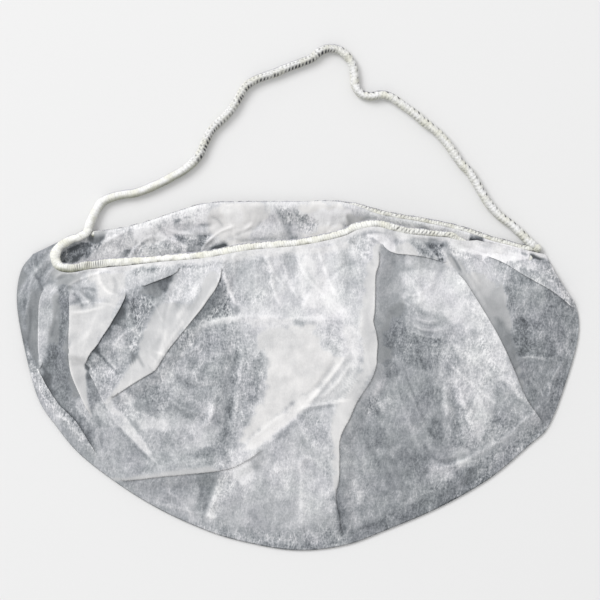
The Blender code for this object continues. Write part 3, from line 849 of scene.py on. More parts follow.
    ("pleatTop10", -0.5, 0.7, -0.18, 0, -1016, 407, -969, 407, -931, 393),
    ("pleatTop11", 0.5, 0.7, 0.14, 0, -1061, 294, -1004, 299, -938, 313, -882, 332),
    ("rimDark", -0.4, 0.8, -0.28, 0, -764, 486, -740, 501, -708, 510),
    ("besideStreak", -0.5, 1.6, -0.16, 0, -816, 271, -797, 197, -769, 122, -746, 85),
    ("besideStreak2", -0.4, 0.9, -0.2, 0, -977, 42, -958, 37, -929, 61, -915, 84),
    ("besideStreak3", 0.4, 0.9, 0.14, 0, -915, 112, -873, 66, -836, 10, -808, -28),
    ("besideStreak4", 0.4, 1.4, 0.14, 0, -863, 178, -844, 122, -816, 66),
    ("besideStreak5", 0.4, 1, 0.14, 0, -771, 374, -789, 318, -779, 252, -741, 178),
    ("tuckStep", 0.6, 0.6, 0.1, 0, -351, -455, -370, -526, -395, -598, -419, -671),
    ("tuckStepDark", -0.5, 1.4, -0.2, 0, -379, -460, -399, -527, -423, -594, -438, -652),
    ("triEdge", 0.5, 0.7, 0.1, 0, 949, 0, 992, -38, 1040, -86, 1094, -133),
    ("triEdgeDark", -0.5, 0.9, -0.16, 0, 935, -5, 983, -52, 1031, -100, 1079, -142),
    ("streamline", 0.4, 1, 0.12, 0, 738, 19, 762, -75, 791, -169, 811, -283),
    ("streamline2", -0.5, 1.2, -0.12, 0, 715, -19, 734, -113, 754, -226, 784, -330),
    ("streamline3", -0.4, 1.2, -0.12, 0, 885, -104, 923, -170, 953, -246),
    ("streamline4", 0.4, 1, 0.12, 0, 847, -75, 876, -160, 906, -255, 916, -322),
    ("whiteFlapEdge", 0.6, 0.8, 0.08, 0, 323, 650, 360, 641, 388, 629),
    ("whiteFlapShade", -0.4, 0.8, -0.14, 0, 239, 636, 285, 608, 331, 561, 359, 504),
    ("pocketShade", -0.4, 1.2, -0.14, 0, 450, 646, 463, 608, 491, 580),
    ("pocketTop", -0.4, 0.9, -0.22, 0, 520, 643, 595, 639, 671, 632),
    ("pocketLine2", -0.4, 0.8, -0.2, 0, 529, 632, 576, 594, 632, 556, 697, 528),
    ("creamFold", 0.5, 0.8, 0.1, 0, 726, 561, 772, 505, 836, 402, 911, 280),
    ("darkTick", -0.5, 0.8, -0.45, 0, 1048, 578, 1067, 571, 1086, 562),
    ("centreLowDark", -0.5, 1.6, -0.28, 0, 201, -478, 194, -535, 195, -593, 207, -660, 216, -727,
     231, -789),
    ("curlDark", -0.5, 1.5, -0.12, 0, -997, 416, -982, 388, -958, 360, -948, 332),
    ("curlDark2", -0.5, 1.5, -0.12, 0, -1053, 397, -1034, 360, -1005, 327, -986, 304),
    ("curlLight", 0.5, 0.7, 0.12, 0, -1025, 411, -1006, 379, -977, 346, -967, 318),
    ("wedgeEdge", 0.6, 0.9, 0.12, 0, -346, 500, -334, 444, -317, 392, -296, 346, -293, 290),
    ("patchDark", -0.3, 2.2, -0.28, 0, 605, 634, 642, 630, 670, 618, 679, 585),
    ("hemLine", -0.3, 1.5, -0.24, 0, -1161, -96, -1105, -155, -1058, -200, -1015, -249, -973, -308,
     -931, -374),
    ("flapShade", -0.3, 3, -0.16, 0, 422, 703, 440, 655, 463, 608),
))

insideCreases = rowsOf(Crease, (
    ("ovalSlit", -0.4, 1.3, -0.9, 0, -1057, 623, -1050, 590, -1032, 538),
    ("ovalEdge", 0.8, 0.8, 0.1, 0, -926, 553, -936, 590, -899, 623, -843, 656, -796, 675),
    ("creamLine", 0.6, 0.8, 0.1, 0.03, -946, 600, -890, 638, -833, 666, -777, 685),
    ("creamLine2", -0.6, 0.8, -0.1, 0, -879, 562, -842, 609, -814, 656),
    ("creamLine3", 0.5, 0.8, 0.08, 0, -908, 581, -861, 590, -822, 571),
    ("sheetEdge", 0.8, 0.8, 0.14, 0.05, -794, 557, -757, 600, -720, 637, -664, 661),
    ("sheetLine", -0.6, 0.9, -0.22, 0, -664, 718, -631, 685, -588, 666, -532, 637, -465, 623),
    ("sheetLine2", -0.6, 0.9, -0.2, 0, -466, 675, -461, 633, -462, 585),
    ("sheetLine3", 0.6, 0.8, 0.12, 0, -645, 703, -598, 680, -541, 670, -466, 661),
    ("sheetLine4", 0.6, 0.8, 0.12, 0, -455, 581, -428, 623, -390, 656),
    # the next two rows: painted shadow of the front rim on the back panel
    ("rimGap", -0.5, 1.1, -0.42, 0, -751, 557, -690, 564, -643, 569, -587, 577, -531, 582, -465, 587),
    ("rimSlit", -0.8, 1.4, -1.5, 0, -446, 575, -408, 588, -376, 599, -319, 617),
    ("speck1", -0.4, 0.9, -0.4, 0, -579, 718, -542, 736),
    ("speck2", -0.5, 0.9, -0.25, 0, -471, 718, -433, 708, -396, 708),
    ("speck3", -0.4, 0.6, -0.22, 0, -542, 741, -495, 746),
    ("upperLine", 0.5, 0.9, 0.09, 0, -692, 741, -617, 760, -532, 788),
    ("upperLine2", -0.5, 0.9, -0.09, 0, -438, 760, -400, 788, -353, 807),
    ("midLine", -0.6, 0.8, -0.14, 0, -306, 647, -249, 675, -184, 703, -155, 760),
    ("midLine2", 0.5, 1, 0.08, 0, -277, 656, -221, 703, -193, 769),
    ("rimShade", -0.4, 0.8, -0.22, 0, -287, 630, -193, 637, -71, 642),
    ("bigCrease", -0.8, 0.9, -0.18, 0, -99, 793, -71, 741, -47, 694, -19, 646),
    ("bigCrease2", -0.6, 0.9, -0.1, 0, -71, 779, -42, 722, -24, 684),
    ("bigCrease3", -0.5, 0.9, -0.14, 0, -19, 788, 0, 760, 9, 722),
    ("bigCreaseLight", 0.7, 1, 0.12, 0, -118, 788, -90, 732, -61, 675, -42, 642),
    ("foot", -0.5, 0.9, -0.3, 0, -42, 644, -14, 646, 9, 646),
    ("rightLine", 0.5, 1, 0.08, 0, 99, 798, 146, 750, 155, 684),
    ("rightLine2", -0.5, 0.8, -0.14, 0, 230, 760, 249, 712, 220, 674),
    ("rightLine3", -0.5, 0.8, -0.16, 0, 296, 722, 333, 741, 390, 736),
    # the next two rows: painted shade in the gap between the rims
    ("rightSlit", -0.5, 1.1, -0.35, 0, 521, 684, 568, 686, 625, 689),
    ("gapSlit", -0.6, 2.4, -1.7, 0, 803, 642, 832, 637, 860, 637, 884, 640),
    ("gapSlit2", -0.5, 0.8, -0.35, 0, 738, 677, 766, 673),
    ("crinkle", -0.5, 0.5, -0.3, 0, -664, 708, -636, 675, -598, 647, -550, 637),
    ("crinkle2", -0.5, 0.5, -0.28, 0, -579, 656, -531, 623, -484, 609, -447, 628),
    ("crinkle3", -0.4, 0.5, -0.3, 0, -475, 656, -428, 656, -400, 661),
    ("crinkle4", -0.4, 0.5, -0.22, 0, -410, 751, -372, 732, -344, 694),
    ("crinkle5", -0.4, 0.5, -0.2, 0, -636, 760, -608, 788, -598, 732),
    ("crinkle6", 0.5, 0.6, 0.12, 0, -740, 722, -664, 732, -598, 751, -532, 774),
    ("crinkle7", 0.5, 0.6, 0.12, 0, -796, 675, -730, 694, -664, 694, -617, 675),
    ("crinkle8", 0.5, 0.6, 0.12, 0, -428, 618, -390, 656, -344, 684, -287, 703),
    ("crinkle9", -0.4, 0.6, -0.14, 0, -739, 619, -692, 637, -644, 628, -587, 600),
    ("crinkle10", 0.4, 0.6, 0.12, 0, -701, 647, -645, 656, -588, 637, -541, 609),
))

# Zones where more or fewer layers of cloth lie on each other, and zones of painted shade under
# flaps, rims and the tack, beside folds and in the mouth: how white the cloth looks there, how
# speckled it is, how soft the zone's edge is, and its outline
Zone = namedtuple("Zone", "name tone speckle soft outline")
frontZones = rowsOf(Zone, (
    ("leftBand", 0.33, 0.32, 1.4, -1343, 581, -1163, 609, -1100, 534, -1158, 425, -1206, 355, -1217, 120,
     -1194, 7, -1114, -115, -1238, -78, -1342, 214),
    ("bandLight", 0.42, 0.92, 1.4, -1313, 355, -1284, 421, -1227, 487, -1161, 534, -1188, 468, -1235, 402,
     -1264, 308, -1284, 214),
    ("leftShoulder", 0.45, 0.99, 3, -1267, 562, -1163, 600, -1095, 515, -1149, 440, -1225, 393,
     -1275, 459),
    ("flangeLeft", 1.24, 0.15, 1, -1000, 505, -925, 515, -830, 517, -736, 524, -652, 533, -651, 505,
     -736, 496, -811, 486, -886, 482, -961, 477),
    ("outerStrip", 0.68, 0.97, 1, -1213, 341, -1201, 383, -1178, 421, -1130, 430, -1110, 393, -1109, 318,
     -1124, 252, -1143, 182, -1163, 116, -1181, 54, -1191, 7, -1205, 54, -1212, 120, -1213, 214),
    ("outerStripShade", 0.53, 0.15, 1, -1143, 383, -1110, 379, -1109, 318, -1124, 252, -1143, 191,
     -1163, 135, -1158, 205, -1148, 271, -1148, 336),
    ("besideStrip", 0.39, 0.32, 1.4, -1106, 402, -1076, 355, -1062, 299, -1061, 215, -1048, 98, -1034, 27,
     -1012, -43, -976, -194, -1037, -124, -1103, -77, -1179, -7, -1158, 144, -1124, 289),
    ("besideStripLow", 0.28, 1.49, 1.4, -1173, 111, -1134, 149, -1100, 112, -1082, 18, -1070, -77,
     -1104, -105, -1142, -58, -1169, 17),
    ("hemInner", 0.42, 1.33, 1.4, -1189, -2, -1103, -68, -1037, -114, -971, -189, -940, -293, -936, -369,
     -983, -294, -1020, -232, -1053, -188, -1085, -155, -1123, -120, -1156, -73, -1180, -30),
    ("hemBand", 0.72, 2.42, 1.2, -1275, 162, -1251, 106, -1227, 49, -1203, 0, -1180, -45, -1152, -87,
     -1123, -129, -1086, -164, -1053, -197, -1020, -242, -983, -303, -936, -374, -984, -351, -1059, -266,
     -1143, -181, -1210, -97, -1261, 16),
    ("hemOuter", 0.56, 0.99, 1.2, -1295, 16, -1233, -92, -1153, -200, -1059, -304, -937, -412, -843, -502,
     -928, -464, -1060, -361, -1187, -210, -1286, -59),
    ("pleatTop", 0.75, 1.02, 1.6, -1103, 496, -1019, 505, -915, 505, -779, 515, -689, 524, -548, 538,
     -567, 505, -641, 472, -706, 444, -743, 416, -790, 393, -826, 341, -943, 318, -1052, 346, -1111, 411),
    ("pleatTopGrey", 0.51, 0.15, 1.8, -1132, 515, -1038, 505, -1017, 449, -1063, 393, -1111, 421,
     -1150, 468),
    ("pleatTopLight", 0.89, 0.17, 1.8, -961, 468, -904, 468, -884, 402, -930, 355, -968, 393),
    ("pleatTopWhite", 0.86, 0.36, 1.6, -957, 491, -877, 501, -811, 496, -791, 458, -809, 402, -855, 360,
     -911, 350, -949, 383, -974, 440),
    ("rimSpot", 0.53, 3, 0.5, -768, 479, -755, 501, -722, 512, -726, 491, -749, 472),
    ("pleatLow", 0.81, 0.22, 1, -1062, 332, -1014, 336, -944, 341, -883, 350, -831, 369, -804, 388,
     -808, 355, -831, 308, -856, 266, -881, 224, -910, 182, -936, 140, -962, 103, -991, 60, -1020, 27,
     -1051, 27, -1057, 112, -1061, 215, -1064, 285),
    ("pleatTail", 0.81, 0.15, 0.6, -1062, 74, -1015, 65, -991, 46, -989, 4, -985, -43, -974, -90,
     -961, -137, -957, -199, -990, -166, -1018, -109, -1038, -58, -1059, -1),
    ("besidePleat", 0.59, 1.51, 1.4, -785, 393, -734, 416, -678, 435, -589, 477, -620, 332, -638, 215,
     -685, 136, -755, 71, -889, -137, -931, -66, -982, 18, -938, 136, -882, 248, -822, 346),
    ("besideShadow", 0.19, 0.52, 1.2, -799, 374, -789, 327, -807, 276, -835, 220, -867, 164, -901, 117,
     -938, 89, -972, 79, -933, 122, -900, 168, -872, 215, -844, 262, -821, 308, -808, 346),
    # the next two rows: painted shade under the rim flap
    ("underFlap", 0.18, 0.74, 0.6, -650, 444, -603, 470, -550, 503, -572, 449, -595, 406, -625, 392,
     -654, 407),
    ("underFlapLeft", 0.4, 0.4, 0.8, -743, 393, -710, 416, -678, 430, -650, 444, -649, 411, -625, 392,
     -644, 364, -691, 364, -728, 369),
    ("mottleDark", 0.6, 2.02, 2, -825, 234, -779, 234, -722, 215, -732, 159, -750, 113, -797, 141,
     -835, 178),
    ("patchLight", 0.65, 1.45, 1.4, -919, 122, -900, 159, -863, 206, -816, 234, -793, 169, -797, 94,
     -854, 19, -892, 47),
    ("greenPatch", 0.47, 2.8, 1, -770, 364, -686, 369, -667, 327, -685, 276, -718, 229, -746, 211,
     -765, 271),
    ("patchWhite", 0.55, 0.8, 1.2, -667, 355, -639, 360, -634, 327, -652, 271, -680, 215, -708, 178,
     -718, 215, -685, 276),
    ("darkStreakLeft", 0.96, 2.35, 1, -774, 169, -750, 141, -746, 89, -765, 47, -783, 66, -774, 113),
    ("streakLeft2", 0.28, 0.46, 1, -783, 113, -750, 103, -722, 47, -704, 5, -737, -9, -779, 29),
    ("triangleLight", 0.68, 1.91, 1, -982, 42, -943, 108, -896, 61, -836, 0, -870, -89, -889, -137,
     -913, -104, -936, -52, -959, 0),
    ("narrowDark", 0.44, 1.34, 0.6, -987, 32, -972, 23, -959, -15, -938, -61, -918, -108, -895, -156,
     -924, -184, -952, -184, -971, -151, -979, -95, -983, -38),
    ("diagonalTop", 0.65, 0.35, 1.2, -547, 496, -351, 505, -368, 402, -424, 327, -498, 243, -638, 206,
     -625, 332, -593, 416),
    ("stripTopSmooth", 0.8, 1.18, 1.2, -548, 505, -454, 514, -356, 524, -355, 467, -382, 411, -415, 369,
     -471, 346, -564, 341, -616, 336, -593, 397, -570, 444),
    ("diagonalEdgeLight", 0.75, 0.15, 1.2, -425, 467, -360, 486, -378, 402, -452, 308, -507, 253,
     -471, 355),
    ("diagonalMid", 0.73, 0.16, 1, -671, 276, -634, 332, -555, 336, -489, 262, -544, 187, -610, 99,
     -648, 24, -699, -9, -741, 43, -748, 94, -734, 150, -708, 211),
    ("diagonalLow", 0.8, 0.15, 0.9, -760, 71, -685, 113, -648, 24, -699, -9, -780, -56, -842, -103,
     -899, -151, -889, -104, -826, -19),
    ("mottleLeft", 0.62, 1.42, 3, -652, 15, -600, 108, -517, 201, -452, 239, -335, 257, -265, 215,
     -275, 76, -303, -111, -341, -261, -453, -261, -594, -229, -687, -206, -757, -140, -794, -75,
     -699, -18),
    ("mottleLeftLight2", 0.92, 1.31, 2, -827, -103, -780, -75, -752, -103, -781, -150, -819, -160),
    ("mottleLeftDark", 0.56, 1.7, 2.5, -563, 146, -498, 215, -424, 253, -293, 262, -275, 187, -349, 113,
     -470, 94),
    ("mottleLeftLight", 0.51, 1.81, 2, -704, -56, -638, -18, -583, -74, -593, -149, -659, -178,
     -724, -121),
    ("lowerStrip", 0.9, 0.65, 0.5, -904, -132, -871, -184, -839, -226, -797, -273, -755, -320, -699, -376,
     -642, -430, -680, -362, -717, -305, -754, -254, -791, -207, -828, -155, -865, -113),
    ("belowStrip", 0.6, 1.09, 1.4, -971, -194, -899, -156, -830, -250, -736, -344, -642, -433, -690, -471,
     -843, -497, -909, -440, -946, -360, -949, -284),
    ("mottleLow", 0.63, 1.24, 2.6, -804, -136, -687, -192, -500, -233, -350, -233, -351, -369, -477, -403,
     -619, -423, -689, -324, -754, -230),
    ("mottleLowLight2", 0.72, 1.02, 2, -613, -338, -519, -309, -453, -337, -472, -384, -557, -404),
    ("mottleLowDark", 0.45, 0.84, 1.4, -762, -131, -705, -121, -677, -150, -697, -187, -744, -188),
    ("mottleLowDark2", 0.43, 1.12, 1.6, -555, -130, -471, -130, -457, -177, -481, -215, -537, -215,
     -565, -177),
    ("stripBeside", 0.71, 1.81, 1.4, -861, -113, -809, -127, -734, -164, -650, -187, -612, -225,
     -678, -244, -744, -221, -800, -178, -842, -146),
    ("aboveTuck", 0.59, 1.06, 1.6, -689, -372, -595, -352, -477, -342, -350, -322, -285, -303, -280, -350,
     -351, -379, -501, -408, -605, -428),
    ("mottleLowLight", 0.71, 1, 1.6, -687, -206, -593, -187, -490, -205, -387, -224, -350, -261,
     -425, -271, -528, -252, -622, -253),
    ("bottomTuckLeft", 0.73, 0.28, 0.6, -871, -485, -738, -462, -595, -442, -454, -424, -341, -400,
     -342, -440, -454, -455, -596, -471, -738, -489, -852, -499),
    ("bottomTuck", 0.81, 1.13, 0.8, -351, -379, -285, -341, -219, -298, -163, -256, -117, -214, -51, -158,
     9, -97, 51, -101, 42, -139, 5, -181, -42, -232, -98, -289, -163, -350, -238, -402, -295, -426,
     -346, -443),
    ("belowTuckLeft", 0.57, 1.1, 2, -848, -511, -643, -490, -502, -475, -360, -455, -380, -536,
     -409, -661, -504, -690, -645, -634, -763, -568),
    ("belowTuckLight", 0.86, 1.76, 2, -379, -460, -276, -421, -286, -517, -343, -584, -395, -680,
     -419, -680, -399, -560),
    ("belowTuckMid", 0.73, 0.99, 3, -267, -426, -117, -326, 5, -223, 107, -148, 196, -134, 205, -298,
     197, -487, 188, -583, 108, -688, -33, -707, -221, -708, -343, -680, -296, -560),
    ("tuckLight2", 1, 0.86, 1.4, -304, -440, -248, -412, -192, -402, -192, -459, -229, -497, -276, -507),
    ("tuckLight3", 0.88, 1.31, 1.8, -117, -421, -51, -407, -23, -478, -56, -526, -98, -488),
    ("lowGrey", 0.62, 0.86, 2.2, -221, -622, -127, -593, -33, -583, -9, -679, -80, -732, -193, -722),
    ("midDarkBlot", 0.68, 1.38, 2.2, 14, -186, 98, -176, 154, -223, 145, -307, 79, -336, 14, -279),
    ("midDarkBlot2", 0.73, 0.86, 2, -201, -355, -135, -336, -117, -402, -164, -459, -210, -421),
    ("bottomEdge", 0.62, 1.83, 2.2, -523, -700, -315, -728, -127, -741, 108, -717, 230, -650, 231, -813,
     14, -837, -269, -813, -495, -743),
    ("streakDark", 0.45, 1.68, 1.6, -265, 192, -247, 122, -265, 20, -284, -102, -303, -228, -327, -346,
     -369, -403, -416, -403, -388, -322, -345, -228, -322, -111, -307, 20, -298, 145),
    ("speckleBright", 0.6, 1.82, 2.6, -256, 146, -172, 169, -135, -17, -163, -158, -238, -251, -299, -322,
     -303, -111, -284, 29),
    ("speckleTop", 0.74, 1.28, 1.6, -265, 248, -163, 248, -154, 146, -191, 94, -237, 113, -261, 178),
    ("centreWhite", 0.92, 0.25, 2.6, -163, 206, 14, 243, 209, 243, 247, 122, 191, 20, 107, -64, 14, -111,
     -79, -186, -173, -261, -238, -317, -275, -308, -257, -242, -219, -195, -182, -134, -158, -88,
     -144, 76),
    ("centreLow", 1.02, 0.43, 1.2, 5, -111, 79, -55, 107, -87, 28, -162, -56, -242, -149, -312,
     -229, -350, -266, -341, -173, -251, -79, -176),
    ("upperBand", 0.83, 0.8, 1.8, -351, 524, 14, 589, 393, 608, 354, 239, 200, 248, 61, 253, -102, 255,
     -256, 257, -349, 243, -424, 225, -489, 192, -433, 299, -368, 402),
    ("underRim", 0.55, 2.48, 0.9, -1095, 515, -924, 505, -689, 515, -501, 533, -337, 557, -127, 585,
     14, 604, 154, 618, 248, 646, 257, 622, 154, 589, 14, 575, -126, 556, -332, 524, -501, 505, -688, 491,
     -877, 486, -1085, 496),
    ("lowerRimLight", 0.94, 0.55, 0.9, -267, 571, -220, 580, 14, 599, 154, 613, 243, 641, 257, 608,
     154, 580, 14, 561, -220, 542, -267, 538),
    ("puff", 0.76, 1.61, 1.2, -332, 533, -267, 571, -164, 561, -126, 495, -112, 406, -163, 350, -266, 336,
     -308, 388, -346, 472),
    ("wedge", 0.51, 2.9, 0.6, -348, 495, -336, 439, -319, 392, -301, 346, -303, 290, -359, 276, -414, 257,
     -461, 234, -484, 225, -438, 285, -396, 341, -368, 397),
    ("wedgeRight", 0.49, 1, 1, -301, 341, -266, 308, -284, 290, -303, 285),
    ("gatherGrey", 0.72, 1, 1.4, -80, 590, 0, 589, -9, 514, -37, 439, -70, 495),
    ("gatherWhite", 0.98, 0.7, 4.5, 23, 571, 117, 533, 182, 411, 219, 299, 42, 327, 51, 448),
    ("gatherSpeckle", 0.76, 0.99, 2, 182, 551, 257, 565, 322, 532, 331, 425, 303, 346, 224, 346,
     182, 448),
    ("underBulge", 0.81, 1.78, 1, 239, 655, 351, 636, 373, 532, 303, 551, 257, 598),
    ("greyArcs", 0.85, 1.43, 2.6, 107, 243, 209, 243, 247, 150, 209, 104, 135, 136, 98, 187),
    ("arcGrey", 0.75, 0.53, 1.4, 154, -27, 223, 85, 293, 94, 293, -8, 247, -111, 70, -125),
    ("centreBand", 0.81, 0.16, 1.2, 350, 589, 388, 608, 387, 509, 364, 444, 354, 355, 354, 239, 372, 155,
     368, 71, 317, -45, 261, -148, 215, -242, 168, -204, 237, -92, 289, 6, 312, 122, 293, 239, 312, 355,
     322, 472),
    ("centreBandLow", 0.73, 1.78, 1.4, 201, -251, 210, -369, 197, -487, 188, -593, 155, -583, 136, -440,
     154, -298),
    ("rightShade", 0.53, 0.63, 0.8, 388, 608, 425, 584, 463, 565, 505, 556, 514, 495, 504, 425, 494, 355,
     461, 318, 433, 253, 386, 160, 358, 239, 363, 355, 368, 448, 387, 514),
    ("rightShadeLow", 0.42, 0.31, 1.4, 372, 178, 405, 253, 443, 318, 494, 346, 494, 271, 480, 187,
     461, 113, 424, 38, 377, 10, 349, -8, 377, 76),
    ("pocketCloth", 0.81, 0.31, 0.9, 411, 603, 482, 617, 600, 637, 679, 599, 715, 505, 622, 547, 528, 561,
     458, 570),
    ("whiteFlap", 1.01, 0.8, 0.5, 328, 660, 445, 660, 458, 584, 411, 603, 374, 636),
    ("underPocket", 0.6, 0.64, 1, 462, 561, 598, 542, 706, 505, 668, 481, 551, 495, 490, 504),
    ("whiteTriangle", 0.85, 0.83, 2.4, 504, 490, 575, 505, 692, 495, 743, 486, 803, 402, 864, 299,
     892, 206, 807, 215, 667, 271, 592, 299, 546, 355, 490, 392),
    ("pocketBelow", 0.74, 0.71, 1.4, 505, 556, 575, 547, 659, 528, 706, 505, 622, 505, 547, 514,
     509, 523),
    ("rightDark", 0.45, 1.89, 2.4, 442, 253, 503, 276, 597, 285, 695, 252, 728, 145, 695, 70, 630, 33,
     536, 47, 471, 94, 433, 169),
    ("rightDarkTop", 0.63, 0.82, 1.6, 503, 276, 597, 294, 695, 262, 714, 206, 648, 178, 573, 197,
     517, 225),
    ("rightDarkLow", 0.35, 1.44, 1.6, 517, 113, 583, 122, 639, 94, 630, 38, 574, 28, 517, 57),
    ("rightSpeckle", 0.79, 1.38, 2.8, 695, 192, 854, 192, 978, -19, 951, -142, 857, -118, 743, -94,
     677, 0),
    ("rightGreyPatch", 0.59, 1.66, 1.6, 686, 112, 733, 122, 752, 47, 724, -9, 686, 19),
    ("rightWhite", 0.97, 2.81, 1.4, 854, 168, 934, 187, 982, 84, 1035, -38, 1074, -105, 1016, -57, 949, 9,
     892, 84),
    ("rightMidDark", 0.52, 1.03, 2.8, 363, -46, 457, 29, 621, 28, 664, -112, 674, -207, 718, -372,
     624, -396, 482, -347, 341, -299, 247, -251),
    ("streakGrey2", 0.34, 1.34, 1.4, 622, -197, 669, -207, 679, -301, 652, -348, 613, -301),
    ("lightStreak", 0.63, 0.86, 1.8, 340, 1, 396, 29, 415, -18, 387, -93, 350, -163, 312, -120),
    ("bottomMid", 0.54, 1.24, 3, 220, -383, 483, -395, 662, -443, 578, -567, 390, -661, 226, -737,
     202, -583),
    ("midDark2", 0.39, 1.17, 1.6, 322, -224, 397, -233, 416, -290, 388, -337, 332, -327, 304, -280),
    ("midDark3", 0.41, 2.51, 1.4, 336, -97, 378, -97, 387, -149, 359, -177, 326, -158),
    ("bottomMidDark", 0.43, 1.17, 2, 468, -357, 520, -347, 567, -371, 572, -433, 535, -490, 484, -528,
     455, -480),
    ("bottomMidLight", 0.69, 1.36, 2, 229, -488, 286, -479, 314, -584, 268, -641, 230, -583),
    ("bottomRight", 0.53, 2.11, 1.8, 743, -463, 860, -388, 1001, -313, 1095, -228, 1191, -248, 1106, -333,
     965, -427, 824, -521, 626, -624, 597, -548),
    ("smileLight", 0.63, 1.52, 1.8, 596, -481, 620, -438, 662, -410, 700, -420, 747, -411, 794, -387,
     841, -378, 860, -397, 804, -444, 719, -482, 653, -505),
    ("smileDark", 0.55, 0.95, 1.6, 547, -253, 613, -291, 680, -377, 671, -424, 600, -357, 538, -291),
    ("rightBelow", 0.61, 1.8, 2.6, 857, -123, 998, -123, 1057, -213, 982, -284, 859, -345, 765, -373,
     717, -301, 739, -160),
    ("rightBelowDark", 0.57, 1.32, 2.2, 931, -38, 988, -95, 1027, -170, 971, -227, 923, -151),
    ("streakWhite", 0.86, 1.1, 1.2, 828, -94, 875, -85, 895, -160, 882, -255, 854, -307, 830, -226),
    ("streakGrey", 0.52, 2.1, 1.4, 905, -189, 952, -180, 972, -246, 954, -303, 916, -293),
    ("streakGrey3", 0.49, 1.69, 1.4, 716, -226, 759, -226, 774, -302, 746, -339, 712, -301),
    ("pleatStrip", 0.86, 1.28, 1, 734, 486, 790, 444, 854, 346, 934, 210, 996, 70, 1049, -48, 1084, -143,
     1021, -95, 949, 0, 901, 121, 845, 238, 789, 355),
    ("pleatStripLow", 0.63, 1.81, 0.9, 1021, -48, 1069, -76, 1099, -157, 1182, -243, 1134, -233,
     1070, -157),
    ("cream", 0.64, 0.15, 0.9, 717, 571, 952, 533, 979, 468, 992, 327, 1020, 210, 1049, 93, 1078, -76,
     1025, -5, 972, 121, 901, 271, 831, 392, 767, 472),
    ("creamShade", 0.42, 0.4, 1.4, 934, 271, 986, 215, 1044, 46, 1064, -57, 1006, 18, 963, 131),
    ("creamTop", 0.75, 1.08, 1.8, 764, 561, 905, 552, 956, 505, 945, 421, 855, 421, 800, 472),
    ("farRight", 0.43, 1.64, 0.9, 952, 533, 1074, 458, 1188, 393, 1318, 299, 1323, 214, 1299, 91,
     1237, 63, 1140, 83, 1044, 84, 1015, 210, 982, 355),
    ("farDark", 0.3, 1.87, 1.2, 1020, 271, 1082, 252, 1106, 168, 1097, 93, 1044, 88, 1015, 168),
    ("farLight", 0.59, 1.33, 1.8, 1044, 402, 1121, 411, 1178, 364, 1168, 299, 1101, 289, 1044, 327),
    ("farLight2", 0.63, 1.64, 1.4, 1164, 130, 1227, 139, 1266, 91, 1237, 54, 1179, 64),
    ("farRightLow", 0.46, 1.32, 1, 1044, 84, 1164, 73, 1299, 87, 1271, -45, 1224, -163, 1186, -238,
     1118, -167, 1078, -72),
    ("farLowDark", 0.38, 1.91, 1.4, 1199, -21, 1247, -3, 1257, -59, 1228, -125, 1195, -153, 1185, -87),
    ("topRightFlap", 0.68, 2.07, 0.7, 887, 562, 1001, 600, 1100, 571, 1171, 520, 1242, 440, 1313, 313,
     1188, 397, 1055, 468),
    ("topRightOuter", 0.82, 3, 0.9, 1134, 600, 1223, 506, 1299, 383, 1328, 294, 1279, 336, 1213, 435,
     1152, 515),
    ("streakDark2", 0.44, 0.98, 0.8, -468, -460, -417, -453, -360, -448, -370, -498, -389, -555,
     -414, -618, -438, -671, -451, -623, -460, -546),
    ("bottomRightEdge", 0.3, 3, 2.4, 325, -766, 391, -728, 532, -652, 673, -577, 776, -516, 870, -454,
     918, -483, 815, -578, 674, -682, 485, -766, 381, -799),
    ("rimCover", 1, 2.88, 1.6, 719, 656, 813, 647, 954, 619, 1096, 590, 1142, 534, 1056, 510, 952, 533,
     867, 543, 787, 552, 726, 580),
    ("rimBelowRight", 0.8, 1.57, 1.8, 726, 590, 811, 561, 905, 533, 1009, 515, 1123, 505, 1143, 543,
     1048, 552, 906, 571, 802, 590),
    ("centreLowWhite", 0.88, 0.15, 1.6, 191, -134, 228, -111, 256, -139, 219, -228, 201, -322, 210, -440,
     202, -559, 169, -564, 164, -440, 159, -298, 168, -195),
    ("leftLowA", 0.69, 1.47, 1, -1037, -114, -999, -123, -981, -170, -962, -218, -1000, -199,
     -1028, -161),
    ("leftLowB", 0.76, 1.04, 1.2, -942, -123, -885, -160, -819, -207, -839, -245, -905, -217, -942, -170),
    ("midLowA", 0.93, 0.74, 1.4, -734, -197, -617, -196, -603, -243, -688, -253, -744, -235),
    ("midLowC", 0.78, 0.87, 1.4, -472, -271, -425, -261, -407, -327, -425, -374, -472, -365),
    ("nearTuck", 0.65, 1.74, 1.4, -388, -346, -341, -336, -304, -393, -304, -455, -351, -440, -398, -403),
    ("besideTurn", 0.77, 1.5, 1.4, -648, 1, -592, 24, -559, -27, -592, -79, -639, -65),
    ("mottleTopDark", 0.56, 1.44, 1.6, -582, 113, -461, 113, -447, 66, -498, 38, -563, 57),
    ("mottleTopDark2", 0.56, 1.58, 1.6, -428, 66, -359, 57, -349, 1, -424, -36, -461, -8),
    ("besideStripLight", 0.71, 2.76, 1.4, -540, 206, -498, 225, -475, 169, -512, 127, -549, 155),
    ("centreGrey", 0.85, 0.29, 2.4, -163, 211, 14, 215, 33, 141, -154, 122),
    ("puffFoot", 0.88, 0.63, 1.8, -200, 271, -42, 276, -42, 234, -191, 225),
    ("puffGrey", 0.68, 0.93, 2.4, -295, 533, -164, 533, -145, 411, -256, 392, -303, 448),
    ("shadeGreyA", 0.27, 1.46, 1.4, 414, 206, 461, 215, 471, 145, 424, 132),
    ("shadeGreyB", 0.35, 1.23, 1.4, 405, 66, 461, 75, 466, 10, 415, 1),
    ("rightStreakDark", 0.39, 1.39, 1.6, 565, -74, 677, -56, 697, -122, 593, -145),
    ("rightStreakLight", 0.7, 1.55, 1.2, 710, -19, 748, -33, 777, -122, 744, -127, 710, -75),
